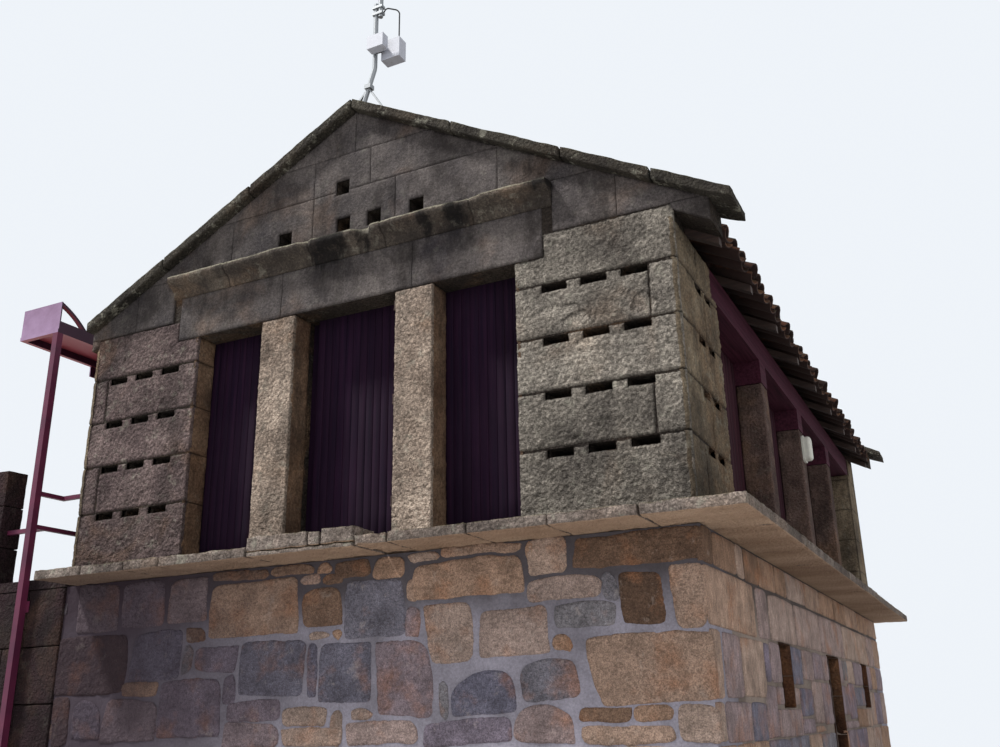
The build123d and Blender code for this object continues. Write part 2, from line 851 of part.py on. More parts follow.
# Mast on a saddle over the coping's apex
mast_base = gable_apex
clamp_width = 2 * (mast_tube_radius + mast_clamp_margin)
saddle_reach_left = ridge_shift - mast_saddle_reach
saddle_reach_right = ridge_shift + mast_saddle_reach
with BuildPart() as mast:
    with BuildSketch(Plane.XZ.offset(-(mast_y + mast_saddle_width / 2))):
        with BuildLine():
            Polyline(
                (ridge_shift, mast_base),
                (saddle_reach_right, coping_top(saddle_reach_right)),
                (saddle_reach_right, coping_top(saddle_reach_right) + mast_saddle_thickness),
                (ridge_shift, mast_base + mast_saddle_thickness),
                (saddle_reach_left, coping_top(saddle_reach_left) + mast_saddle_thickness),
                (saddle_reach_left, coping_top(saddle_reach_left)),
                close=True,
            )
        make_face()
    extrude(amount=mast_saddle_width)
    with BuildLine() as mast_path:
        FilletPolyline(
            (mast_foot_x, mast_y, mast_base + mast_foot_lift),
            (mast_x, mast_y, mast_base + mast_bend_height),
            (mast_x, mast_y, mast_base + mast_lower_top),
            radius=mast_bend_radius,
        )
    with BuildSketch(Plane(origin=mast_path.line @ 0, z_dir=mast_path.line % 0)):
        Circle(mast_tube_radius)
    sweep(path=mast_path.line)
    strut_top_x = mast_foot_x + (mast_x - mast_foot_x) * mast_strut_top / mast_bend_height
    strut_top_z = mast_base + mast_strut_top
    with BuildSketch(Plane.XZ.offset(-(mast_y + mast_strut_width / 2))):
        for foot_x in (saddle_reach_left + mast_strut_width, saddle_reach_right - mast_strut_width):
            foot_z = coping_top(foot_x) + mast_saddle_thickness / 2
            outward = mast_strut_depth if foot_x > strut_top_x else -mast_strut_depth
            Polygon(
                (strut_top_x, strut_top_z),
                (strut_top_x, strut_top_z - 2 * mast_strut_depth),
                (foot_x, foot_z),
                (foot_x + outward, foot_z),
                align=None,
            )
    extrude(amount=mast_strut_width)
    with BuildSketch(Plane.XY.offset(strut_top_z - mast_collar_height / 2)):
        with Locations((strut_top_x, mast_y)):
            Rectangle(2 * mast_strut_width, 2 * mast_strut_width)
    extrude(amount=mast_collar_height)
    upper_x = mast_x + mast_upper_offset
    with BuildSketch(Plane.XY.offset(mast_base + mast_upper_bottom)):
        with Locations((upper_x, mast_y)):
            Circle(mast_upper_radius)
    extrude(amount=mast_upper_top - mast_upper_bottom)
    clamp_length = mast_upper_offset + mast_tube_radius + mast_upper_radius + 2 * mast_clamp_margin
    for height in mast_clamp_heights:
        with BuildSketch(Plane.XY.offset(mast_base + height)):
            with Locations(((mast_x - mast_tube_radius + upper_x + mast_upper_radius) / 2, mast_y)):
                Rectangle(clamp_length, clamp_width)
        extrude(amount=mast_clamp_height)
finish(mast, "mast")

with BuildPart() as mast_boxes:
    small_y = mast_y - clamp_width / 2 - small_box_size[1] / 2
    with BuildSketch(Plane.XY.offset(mast_base + small_box_height)):
        with Locations((mast_x + small_box_shift, small_y)):
            Rectangle(small_box_size[0], small_box_size[1])
    extrude(amount=small_box_size[2])
    large_y = mast_y + clamp_width / 2 + large_box_size[1] / 2
    with BuildSketch(Plane.XY.offset(mast_base + large_box_height)):
        with Locations((mast_x + large_box_shift, large_y)):
            Rectangle(large_box_size[0], large_box_size[1])
    extrude(amount=large_box_size[2])
finish(mast_boxes, "mast_boxes")

# Lead looped from the upper tube over to the large box
large_box_top = mast_base + large_box_height + large_box_size[2]
lead_end = (mast_x + large_box_shift + 0.3 * large_box_size[0], large_y, large_box_top)
lead_start_x = upper_x + mast_upper_radius + mast_clamp_margin + lead_radius
lead_start = (lead_start_x, mast_y, mast_base + mast_upper_bottom + lead_start_rise)
with BuildPart() as mast_lead:
    with BuildLine() as lead_path:
        FilletPolyline(
            lead_start,
            (lead_start[0] + 4 * lead_radius, lead_start[1], lead_end[2] + lead_loop_rise),
            (lead_end[0], lead_end[1], lead_end[2] + lead_loop_rise),
            lead_end,
            radius=0.35 * (lead_end[0] - lead_start[0]),
        )
    with BuildSketch(Plane(origin=lead_path.line @ 0, z_dir=lead_path.line % 0)):
        Circle(lead_radius)
    sweep(path=lead_path.line)
finish(mast_lead, "mast_lead")

# Bulkhead lamp on the middle pillar of the right side
lamp_y = pillar_centres[len(pillar_centres) // 2]
lamp_z = stone_pillar_top - lamp_below_top
with BuildPart() as side_lamp:
    with BuildSketch(Plane.YZ.offset(half)):
        with Locations((lamp_y, lamp_z)):
            RectangleRounded(lamp_width, lamp_height, 0.3 * lamp_width)
    extrude(amount=lamp_base_depth)
    with BuildSketch(Plane.YZ.offset(half + lamp_base_depth)):
        with Locations((lamp_y, lamp_z)):
            RectangleRounded(0.86 * lamp_width, 0.9 * lamp_height, 0.3 * lamp_width)
    extrude(amount=lamp_depth - lamp_base_depth)
    fillet(side_lamp.edges().group_by(Axis.X)[-1], radius=0.2 * lamp_width)
finish(side_lamp, "side_lamp")

print("chamber length", chamber_length)
print("eave span", round(2 * eave_x), "gable apex", gable_apex)
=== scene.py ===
# %% [markdown]
# # A granite granary, dressed in Blender
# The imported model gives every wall, slab and slope as a plain solid. This lesson dresses those
# solids: stones with real joints, pecked faces, boards, clay tiles, moss, paint and rust.
# Everything is in metres. +X runs to the right along the gable front, +Y to the back and +Z up.

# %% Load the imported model
import math
from itertools import pairwise

import bpy
import numpy as np
from mathutils import Matrix, Vector


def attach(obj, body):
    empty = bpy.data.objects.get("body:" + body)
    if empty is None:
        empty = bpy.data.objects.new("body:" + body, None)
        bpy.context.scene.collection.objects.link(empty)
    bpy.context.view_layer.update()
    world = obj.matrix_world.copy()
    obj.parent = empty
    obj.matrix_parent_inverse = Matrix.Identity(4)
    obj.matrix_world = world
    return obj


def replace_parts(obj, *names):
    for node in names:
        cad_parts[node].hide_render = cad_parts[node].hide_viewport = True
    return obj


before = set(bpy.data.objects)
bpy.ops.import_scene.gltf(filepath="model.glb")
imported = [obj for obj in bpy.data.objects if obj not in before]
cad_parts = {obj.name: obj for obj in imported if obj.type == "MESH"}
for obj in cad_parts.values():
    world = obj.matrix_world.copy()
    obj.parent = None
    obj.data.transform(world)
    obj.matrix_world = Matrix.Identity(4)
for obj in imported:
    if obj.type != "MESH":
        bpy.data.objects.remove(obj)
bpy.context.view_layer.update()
BODY = "granary"
LEAF = "ground_door_leaf"
print("nodes", len(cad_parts))

# %% [markdown]
# ## The camera
# The photographer stood a little to the right of the front, low, and looked up. A camera is one
# matrix: its columns are the image's right, its up, and the direction away from the view. The
# angles came from lining up the long edges of walls and ledge with the picture.

# %% Camera
eye = Vector((4.1513, -5.7517, 1.5960))
turn, tilt, roll = math.radians(-26.236), math.radians(19.147), math.radians(-1.095)
ahead = Vector((math.sin(turn) * math.cos(tilt), math.cos(turn) * math.cos(tilt), math.sin(tilt)))
level = Vector((math.cos(turn), -math.sin(turn), 0))
upright = level.cross(ahead)
right_way = math.cos(roll) * level + math.sin(roll) * upright
up_way = math.cos(roll) * upright - math.sin(roll) * level
camera_data = bpy.data.cameras.new("camera")
camera_data.sensor_fit = "HORIZONTAL"
camera_data.sensor_width = 36
camera_data.lens = 35.66
camera_data.clip_end = 300
camera = bpy.data.objects.new("camera", camera_data)
bpy.context.scene.collection.objects.link(camera)
camera.matrix_world = Matrix.Translation(eye) @ Matrix((right_way, up_way, -ahead)).transposed().to_4x4()
bpy.context.scene.camera = camera
print("lens", camera_data.lens, "mm")

# %% [markdown]
# ## Light, floor and background
# Three lamps and a pale sky. The main light comes from the upper left and rakes over the front,
# as daylight did, so that every pecked face and joint shows. Two wide weak ones, from the right
# and from the front, open the shaded sides. The sky is white only to the eye and to reflections,
# through Light Path, so that it doesn't flood the stone with light.

# %% Sky and lamps
scene = bpy.context.scene
scene.view_settings.view_transform = "Standard"
world = bpy.data.worlds.new("studio")
scene.world = world
world.use_nodes = True
sky = world.node_tree
sky.nodes.clear()
sky_out = sky.nodes.new("ShaderNodeOutputWorld")
sky_mix = sky.nodes.new("ShaderNodeMixShader")
seen = sky.nodes.new("ShaderNodeBackground")
seen.inputs["Color"].default_value = (0.86, 0.90, 0.95, 1)
lit = sky.nodes.new("ShaderNodeBackground")
lit.inputs["Color"].default_value = (0.93, 0.96, 1.0, 1)
lit.inputs["Strength"].default_value = 0.36
path = sky.nodes.new("ShaderNodeLightPath")
looked_at = path.outputs["Is Camera Ray"]
for kind in ("Is Glossy Ray", "Is Transmission Ray"):
    either = sky.nodes.new("ShaderNodeMath")
    either.operation = "MAXIMUM"
    sky.links.new(looked_at, either.inputs[0])
    sky.links.new(path.outputs[kind], either.inputs[1])
    looked_at = either.outputs[0]
for source, socket in zip((looked_at, lit.outputs[0], seen.outputs[0]), sky_mix.inputs):
    sky.links.new(source, socket)
sky.links.new(sky_mix.outputs[0], sky_out.inputs[0])


def lamp(name, towards, strength, width, colour):
    """A sun lamp that shines along the given direction, as wide as the given angle."""
    data = bpy.data.lights.new(name, "SUN")
    data.energy = strength
    data.angle = math.radians(width)
    data.color = colour
    obj = bpy.data.objects.new(name, data)
    obj.rotation_euler = Vector(towards).to_track_quat("-Z", "Y").to_euler()
    scene.collection.objects.link(obj)


lamp("main_light", (0.50, 0.27, -0.82), 5.6, 6, (1.0, 0.975, 0.94))
lamp("side_light", (-0.80, 0.50, -0.22), 0.75, 70, (1.0, 0.97, 0.94))
lamp("front_light", (-0.1, 0.9, 0.12), 0.75, 70, (0.97, 0.98, 1.0))
print("sky and lamps set")

# %% [markdown]
# The floor is a pale disc a hair under the ground level. Every material in this lesson starts from
# the same plain one.

# %% Floor
def plain_material(name, colour, roughness, gloss=0.5, metallic=0.0):
    """A principled material with nothing on it yet, and its node tree."""
    material = bpy.data.materials.new(name)
    material.use_nodes = True
    shader = material.node_tree.nodes["Principled BSDF"]
    shader.inputs["Base Color"].default_value = (*colour, 1)
    shader.inputs["Roughness"].default_value = roughness
    shader.inputs["Specular IOR Level"].default_value = gloss
    shader.inputs["Metallic"].default_value = metallic
    return material, material.node_tree


FLOOR_RADIUS, FLOOR_SIDES, FLOOR_MIDDLE_Y, FLOOR_Z = 34, 72, 4, -0.002
around = np.linspace(0, 2 * math.pi, FLOOR_SIDES + 1)[:-1]
ring = [(FLOOR_RADIUS * math.cos(a), FLOOR_MIDDLE_Y + FLOOR_RADIUS * math.sin(a), FLOOR_Z) for a in around]
floor_mesh = bpy.data.meshes.new("floor")
floor_mesh.from_pydata(ring, [], [list(range(FLOOR_SIDES))])
floor = bpy.data.objects.new("floor", floor_mesh)
floor_mesh.materials.append(plain_material("pale_floor", (0.50, 0.49, 0.48), 0.9)[0])
scene.collection.objects.link(floor)
print("floor radius", FLOOR_RADIUS, "m")

# %% [markdown]
# ## A small kit for finishes
# Each finish is built from a few kinds of step: soft noise, a ramp that turns a pattern into
# colours, and a mix. Small functions keep every finish short enough to read. All patterns use the
# object's own coordinates, so a grain has its real size in metres.

# %% Patterns and mixes
def srgb(red, green, blue):
    """A colour as seen on a screen, 0 to 255, turned into the linear numbers that a shader needs."""
    def linear(c):
        return (c / 255 / 12.92) if c < 11 else ((c / 255 + 0.055) / 1.055) ** 2.4

    return tuple(linear(c) for c in (red, green, blue))


def place_in(tree, stretch=(1, 1, 1)):
    """The object's coordinates, stretched along each axis."""
    where = tree.nodes.new("ShaderNodeTexCoord")
    mapping = tree.nodes.new("ShaderNodeMapping")
    mapping.inputs["Scale"].default_value = stretch
    tree.links.new(where.outputs["Object"], mapping.inputs["Vector"])
    return mapping.outputs["Vector"]


def noise(tree, scale, detail, rough=0.6, stretch=(1, 1, 1), twist=0.0):
    """Soft noise; scale counts its features in a metre."""
    n = tree.nodes.new("ShaderNodeTexNoise")
    n.inputs["Scale"].default_value = scale
    n.inputs["Detail"].default_value = detail
    n.inputs["Roughness"].default_value = rough
    n.inputs["Distortion"].default_value = twist
    tree.links.new(place_in(tree, stretch), n.inputs["Vector"])
    return n.outputs["Fac"]


def ramp(tree, value, *stops):
    """Colours or greys laid along a value."""
    n = tree.nodes.new("ShaderNodeValToRGB")
    while len(n.color_ramp.elements) < len(stops):
        n.color_ramp.elements.new(0.5)
    for element, (at, colour) in zip(n.color_ramp.elements, stops):
        element.position = at
        element.color = (*colour, 1) if isinstance(colour, tuple) else (colour, colour, colour, 1)
    tree.links.new(value, n.inputs["Fac"])
    return n.outputs["Color"]


def patches(tree, low, high, *kind):
    """Patches of noise, 0 where it is under low and 1 over high."""
    return ramp(tree, noise(tree, *kind), (low, 0.0), (high, 1.0))


def blend(tree, share, under, over, mode="MIX"):
    """One colour over another; each may be a colour or a socket."""
    n = tree.nodes.new("ShaderNodeMix")
    n.data_type = "RGBA"
    n.blend_type = mode
    for value, socket in ((share, n.inputs[0]), (under, n.inputs[6]), (over, n.inputs[7])):
        if isinstance(value, (int, float)):
            socket.default_value = value
        elif isinstance(value, tuple):
            socket.default_value = (*value, 1)
        else:
            tree.links.new(value, socket)
    return n.outputs[2]


def reckon(tree, operation, first, second):
    """One sum on values."""
    n = tree.nodes.new("ShaderNodeMath")
    n.operation = operation
    for value, socket in ((first, n.inputs[0]), (second, n.inputs[1])):
        if isinstance(value, (int, float)):
            socket.default_value = value
        else:
            tree.links.new(value, socket)
    return n.outputs[0]


def laid_over(tree, where, amount, under, over):
    """One colour over another where a pattern shows, by an amount."""
    return blend(tree, reckon(tree, "MULTIPLY", where, amount), under, over)


print("patterns and mixes ready")

# %% [markdown]
# Other patterns follow the shape: which way a surface faces, where it lies, and the numbers that
# each mesh carries at its points. Moss needs the first, damp needs the second, and the third keeps
# neighbouring stones apart.

# %% What the shape tells
def facing(tree, low, high, way=1, axis="Z"):
    """0 to 1 as a surface turns to face along an axis, or against it with way -1."""
    n = tree.nodes.new("ShaderNodeNewGeometry")
    split = tree.nodes.new("ShaderNodeSeparateXYZ")
    tree.links.new(n.outputs["Normal"], split.inputs[0])
    turned_to = reckon(tree, "MULTIPLY", split.outputs[axis], way)
    return ramp(tree, turned_to, (low, 0.0), (high, 1.0))


def between(tree, value, low, high):
    """0 below low, 1 above high, smooth between."""
    n = tree.nodes.new("ShaderNodeMapRange")
    n.interpolation_type = "SMOOTHSTEP"
    n.inputs["From Min"].default_value = low
    n.inputs["From Max"].default_value = high
    tree.links.new(value, n.inputs["Value"])
    return n.outputs["Result"]


def wandering(tree, axis, scale, detail, by):
    """The object's coordinate along one axis, shifted by noise so that an edge across it wanders."""
    split = tree.nodes.new("ShaderNodeSeparateXYZ")
    tree.links.new(place_in(tree), split.inputs[0])
    return reckon(tree, "ADD", split.outputs[axis], reckon(tree, "MULTIPLY", noise(tree, scale, detail), by))


def number_of(tree, name):
    """A number that the mesh carries at its points; zero where it carries none."""
    n = tree.nodes.new("ShaderNodeAttribute")
    n.attribute_name = name
    return n.outputs["Fac"]


def tone_of(tree):
    """The number that each stone, board or tile carries, so that no two look the same."""
    return number_of(tree, "tone")


def hollow_of(tree):
    """How deep a point lies in a pit, groove or joint, from 0 to 1; the finishes paint shade by it."""
    return number_of(tree, "hollow")


def finished(material, colour, *layers):
    """Gives a material its colour and bumps; a layer is a height, its depth in metres and its strength."""
    tree = material.node_tree
    shader = tree.nodes["Principled BSDF"]
    tree.links.new(colour, shader.inputs["Base Color"])
    last = None
    for height, depth, strength in layers:
        n = tree.nodes.new("ShaderNodeBump")
        n.inputs["Distance"].default_value = depth
        n.inputs["Strength"].default_value = strength
        tree.links.new(height, n.inputs["Height"])
        if last:
            tree.links.new(last, n.inputs["Normal"])
        last = n.outputs["Normal"]
    tree.links.new(last, shader.inputs["Normal"])
    return material


print("shape patterns ready")

# %% [markdown]
# ## Granite
# The chamber is of coarse warm granite: pale feldspar, glassy quartz and black mica, pecked all
# over with a point. Rain has washed black streaks down from the cornice, and lichen has left pale
# spots. One recipe makes all the dressed stone, with a few numbers that change. It goes from the
# broad to the fine: bed colour, each stone's tone, blots, grains, lichen, grime, painted shade in
# the pits, moss, soot.

# %% Granite finish
def left_shade_painted(tree, colour, amount):
    """Shade painted on the front's left part, under the porch: darker towards the left."""
    painted_shade = reckon(tree, "SUBTRACT", 1.0, between(tree, wandering(tree, "X", 1.4, 4, 0.8), -1.9, 1.3))
    return laid_over(tree, painted_shade, amount, colour, srgb(44, 33, 42))


def granite(name, dark, pale, lichen=0.35, moss=0.0, pecking=1.0, mottle=0.5, pit_shade=0.8, stain=0.55,
            warmth=0.35, under=None):
    """A dressed granite between two colours; under gives the two colours of a smoother underside, pale and
    warm as painted light reflected up onto it.
    """
    material, tree = plain_material(name, pale, 0.95, 0.1)
    broad = ramp(tree, noise(tree, 1.9, 6, 0.62), (0.32, dark), (0.66, pale))
    toned = blend(tree, 0.6, broad, ramp(tree, tone_of(tree), (0.0, 0.30), (1.0, 0.72)), "OVERLAY")
    warm = between(tree, noise(tree, 1.3, 4, 0.6, twist=0.6), 0.50, 0.68)
    warmed = laid_over(tree, warm, warmth, toned, srgb(140, 108, 80))
    blots = ramp(tree, noise(tree, 52, 4, 0.65), (0.40, 0.20), (0.50, 0.5), (0.60, 0.84))
    mottled = blend(tree, mottle, warmed, blots, "OVERLAY")
    grains = ramp(tree, noise(tree, 130, 3, 0.7), (0.34, 0.2), (0.66, 0.82))
    grainy = blend(tree, 0.5, mottled, grains, "OVERLAY")
    spots = patches(tree, 0.56, 0.63, 9, 8, 0.72)
    licheny = laid_over(tree, spots, lichen, grainy, srgb(168, 166, 152))
    grime = patches(tree, 0.48, 0.64, 2.6, 8, 0.72, (1, 1, 0.45))
    grimy = laid_over(tree, grime, stain, licheny, srgb(46, 42, 41))
    # painted shade in the pits, on the worn edges and in the joints
    worn = laid_over(tree, hollow_of(tree), pit_shade, grimy, srgb(30, 26, 25))
    if under:
        # the underside's pale warm colours are painted light reflected up from the ground, with painted shade
        # on the left
        bands = ramp(tree, noise(tree, 1.4, 5, 0.6, (0.7, 1.4, 1)), (0.34, under[0]), (0.66, under[1]))
        soffit_painted_bounce = left_shade_painted(tree, blend(tree, 0.35, bands, grains, "OVERLAY"), 0.62)
        worn = blend(tree, facing(tree, 0.35, 0.8, -1), worn, soffit_painted_bounce)
    if moss:
        tufts = patches(tree, 0.40, 0.56, 14, 9, 0.75)
        on_top = reckon(tree, "MULTIPLY", tufts, facing(tree, 0.15, 0.7))
        mossy = blend(tree, noise(tree, 30, 4), srgb(38, 38, 24), srgb(96, 92, 48))
        worn = laid_over(tree, on_top, moss, worn, mossy)
    # a tone above 1 makes an edge paler, as on the cornice's upper edge
    paler_edge = reckon(tree, "MULTIPLY", between(tree, tone_of(tree), 1.02, 1.3), 0.6)
    frayed = ramp(tree, noise(tree, 40, 6, 0.7), (0.36, 0.1), (0.56, 1.0))
    worn = laid_over(tree, paler_edge, frayed, worn, srgb(158, 154, 138))
    # soot is a ragged crust where it is thick, with a thin haze round it
    ragged = patches(tree, 0.36, 0.58, 6, 8, 0.75, (1.6, 1.6, 0.3))
    crust = between(tree, reckon(tree, "ADD", number_of(tree, "soot"), ragged), 1.3, 2.3)
    haze = reckon(tree, "MULTIPLY", number_of(tree, "soot"), between(tree, ragged, -0.7, 1.6))
    soot = reckon(tree, "MULTIPLY", between(tree, reckon(tree, "MAXIMUM", crust, haze), 0.0, 1.0), 0.88)
    sooty = blend(tree, soot, worn, srgb(20, 19, 20))
    pecks, grit = noise(tree, 42, 2, 0.5), noise(tree, 120, 4, 0.8)
    return finished(material, sooty, (pecks, 0.040 * pecking, 1.0), (grit, 0.007, 0.9))


chamber_granite = granite("chamber_granite", srgb(98, 93, 88), srgb(158, 151, 141), mottle=0.6, warmth=0.25)
# a darker granite for the left pier, as painted shade
left_shade_granite = granite("left_shade_granite", srgb(72, 60, 62), srgb(128, 112, 110), warmth=0.3)
return_granite = granite("return_granite", srgb(88, 78, 66), srgb(142, 128, 108), pecking=0.5, mottle=0.35)
door_pillar_granite = granite("door_pillar_granite", srgb(112, 98, 88), srgb(176, 160, 146))
# a dark granite for the plain walls seen in the joints and slots, as painted shade
joint_granite = granite("joint_granite", srgb(44, 39, 36), srgb(74, 66, 60), lichen=0.1)
# darker and cooler than the piers' granite: partly grime, partly painted shade from the cornice and the
# coping
lintel_granite = granite("lintel_granite", srgb(55, 52, 55), srgb(102, 96, 94), lichen=0.1, pecking=0.3,
                         mottle=0.35, pit_shade=0.4, stain=0.8, warmth=0.2)
# a warm brown that paints the warm light bounced into the shaded door reveals
reveal_granite = granite("reveal_granite", srgb(96, 74, 60), srgb(136, 112, 92), lichen=0.1, pecking=0.4,
                         mottle=0.35)
# darker than the chamber's granite, partly as painted shade on the shaded sides
pillar_granite = granite("pillar_granite", srgb(70, 55, 52), srgb(106, 88, 82), lichen=0.1, pecking=0.6,
                         mottle=0.35)
cornice_granite = granite("cornice_granite", srgb(44, 40, 39), srgb(92, 84, 76), lichen=0.2, moss=0.5,
                          pecking=0.35, mottle=0.4, stain=0.7, warmth=0.2)
coping_granite = granite("coping_granite", srgb(40, 38, 35), srgb(80, 76, 68), lichen=0.6, moss=0.9,
                         stain=0.6, warmth=0.1)
ledge_granite = granite("ledge_granite", srgb(102, 92, 87), srgb(158, 146, 138), lichen=0.5, moss=0.6,
                        stain=0.3, warmth=0.2, under=(srgb(148, 122, 102), srgb(184, 158, 136)))
landing_granite = granite("landing_granite", srgb(28, 19, 22), srgb(54, 38, 43), lichen=0.05, moss=0.1,
                          mottle=0.4, warmth=0.12)
# rust brown, darkened as painted shade inside the openings
opening_granite = granite("opening_granite", srgb(72, 46, 34), srgb(118, 80, 58), lichen=0.05,
                          pecking=0.5, mottle=0.3)
print("granite finishes made")

# %% [markdown]
# ## Rubble stone and mortar
# The ground room is of squared rubble from several beds: tan, rust brown, rose, blue grey. Each
# stone's tone picks its colour on one ramp. The wide mortar between is grey with a lilac cast,
# trowelled nearly flush, so it is a material of its own on the plain wall behind the stones.

# %% Rubble and mortar finishes
def rubble_finish(name, lift=1.0, grooves=(1, 1, 1)):
    """Squared rubble; tone 0 to 1 runs from dark brown to pale grey, and lift makes it all paler."""
    def bed_colour(*rgb):
        return srgb(*(min(235, c * lift) for c in rgb))

    material, tree = plain_material(name, (0.4, 0.35, 0.3), 0.95, 0.2)
    bed = ramp(
        tree, tone_of(tree),
        (0.04, bed_colour(52, 40, 36)), (0.15, bed_colour(112, 88, 72)),
        (0.30, bed_colour(178, 146, 124)), (0.42, bed_colour(184, 162, 149)),
        (0.55, bed_colour(160, 142, 143)), (0.68, bed_colour(136, 125, 140)),
        (0.80, bed_colour(121, 120, 139)), (0.92, bed_colour(142, 139, 143)),
    )
    clouds = ramp(tree, noise(tree, 4.2, 7, 0.65), (0.34, 0.24), (0.66, 0.76))
    clouded = blend(tree, 0.6, bed, clouds, "OVERLAY")
    rust = patches(tree, 0.52, 0.68, 3.1, 5, 0.6)
    rusty = laid_over(tree, rust, 0.5, clouded, srgb(164, 112, 78))
    blots = ramp(tree, noise(tree, 52, 4, 0.7, grooves), (0.38, 0.26), (0.62, 0.8))
    mottled = blend(tree, 0.42, rusty, blots, "OVERLAY")
    grains = ramp(tree, noise(tree, 110, 3, 0.75), (0.38, 0.18), (0.62, 0.84))
    grainy = blend(tree, 0.5, mottled, grains, "OVERLAY")
    smears = patches(tree, 0.58, 0.66, 6.5, 8, 0.75)
    smeared = laid_over(tree, smears, 0.35, grainy, srgb(184, 172, 164))
    # painted shade in the pits and on the worn edges
    worn = laid_over(tree, hollow_of(tree), 0.35, smeared, srgb(64, 52, 50))
    lumps, grit = noise(tree, 26, 4, 0.6, grooves), noise(tree, 120, 4, 0.8)
    # with shade painted on the left part under the porch
    return finished(material, left_shade_painted(tree, worn, 0.80), (lumps, 0.040, 1.0), (grit, 0.006, 0.8))


def mortar_finish(name, low, high):
    """Old lime mortar, trowelled nearly flush, between two colours, with shade painted under the ledge."""
    material, tree = plain_material(name, low, 0.95, 0.2)
    base = ramp(tree, noise(tree, 2.1, 6, 0.6), (0.34, low), (0.62, high))
    sand = ramp(tree, noise(tree, 60, 4, 0.8), (0.3, 0.28), (0.7, 0.74))
    sandy = blend(tree, 0.5, base, sand, "OVERLAY")
    # painted shade: darker just under the ledge, and towards the left under the porch
    shade_under_ledge = between(tree, wandering(tree, "Z", 2.2, 5, 0.5), 2.40, 2.72)
    painted_shade = laid_over(tree, shade_under_ledge, 0.85, sandy, srgb(56, 51, 52))
    trowelled, grit = noise(tree, 16, 5, 0.6), noise(tree, 140, 4, 0.8)
    return finished(material, left_shade_painted(tree, painted_shade, 0.93), (trowelled, 0.014, 0.7), (grit, 0.003, 0.6))


rubble = rubble_finish("rubble", 0.87)
# a paler copy for the right side with upright grooves; its extra paleness is painted light from the bright
# ground
rubble_pale = rubble_finish("rubble_pale", 0.92, (1, 1, 0.25))
mortar = mortar_finish("mortar", srgb(112, 109, 118), srgb(150, 147, 160))
side_mortar = mortar_finish("side_mortar", srgb(98, 88, 82), srgb(136, 124, 116))
roof_mortar = mortar_finish("roof_mortar", srgb(84, 76, 68), srgb(120, 110, 98))
print("rubble and mortar made")

# %% [markdown]
# ## Painted boards and old timber
# Doors and side walls are boards in a dark wine red that has gone nearly purple, with streaks
# along the grain where it has worn. The beams carry the same paint, a little brighter. The
# rafters and floor were never painted.

# %% Timber finishes
def painted_wood(name, deep, faded, grain_axis=2, wear=0.2):
    """Old paint on boards whose grain runs along one axis."""
    material, tree = plain_material(name, deep, 0.78, 0.08)
    along = [26.0, 26.0, 26.0]
    along[grain_axis] = 0.8
    streak = noise(tree, 1.6, 7, 0.7, tuple(along))
    coat = ramp(tree, streak, (0.36, deep), (0.68, faded))
    toned = blend(tree, 0.35, coat, ramp(tree, tone_of(tree), (0.0, 0.3), (1.0, 0.7)), "OVERLAY")
    bare = patches(tree, 0.60, 0.72, 3.0, 7, 0.75, tuple(a / 6 for a in along))
    worn = laid_over(tree, bare, wear, toned, srgb(78, 54, 52))
    dust = patches(tree, 0.45, 0.8, 1.2, 5, 0.6)
    dusty = laid_over(tree, dust, 0.12, worn, srgb(70, 58, 70))
    # painted shade in the grooves between boards
    groove_shaded = laid_over(tree, hollow_of(tree), 0.4, dusty, srgb(12, 6, 12))
    fibres = noise(tree, 60, 4, 0.7, tuple(a / 20 for a in along))
    return finished(material, groove_shaded, (streak, 0.003, 0.6), (fibres, 0.001, 0.5))


def bare_wood(name, dark, pale, grain_axis):
    """Untreated timber, grey brown."""
    material, tree = plain_material(name, dark, 0.85)
    along = [30.0, 30.0, 30.0]
    along[grain_axis] = 1.0
    streak = noise(tree, 1.5, 6, 0.7, tuple(along))
    return finished(material, ramp(tree, streak, (0.32, dark), (0.7, pale)), (streak, 0.004, 0.6))


# this dark partly as painted shade in the deep door reveals
door_paint = painted_wood("door_paint", srgb(20, 9, 27), srgb(38, 18, 38))
wall_paint = painted_wood("wall_paint", srgb(38, 20, 28), srgb(62, 34, 42))
beam_paint = painted_wood("beam_paint", srgb(48, 20, 32), srgb(78, 38, 54), grain_axis=1, wear=0.15)
rafter_wood = bare_wood("rafter_wood", srgb(34, 25, 24), srgb(64, 48, 42), 0)
floor_wood = bare_wood("floor_wood", srgb(60, 46, 36), srgb(104, 84, 62), 1)
print("timber finishes made")

# %% [markdown]
# ## Clay, paint on steel, zinc, enamel, iron and the rest
# Small parts need the same care, at their own scale: tiles are red clay dulled by black lichen, with
# shade painted on their undersides, the porch is gloss paint gone dull, the mast is zinc with faint
# mottling, and the two boxes are pale enamel with brown spots. The canopy's front is pale lilac;
# its sides are painted dark as shade and its underside is redder, so the paint there goes by which
# way the sheet faces.

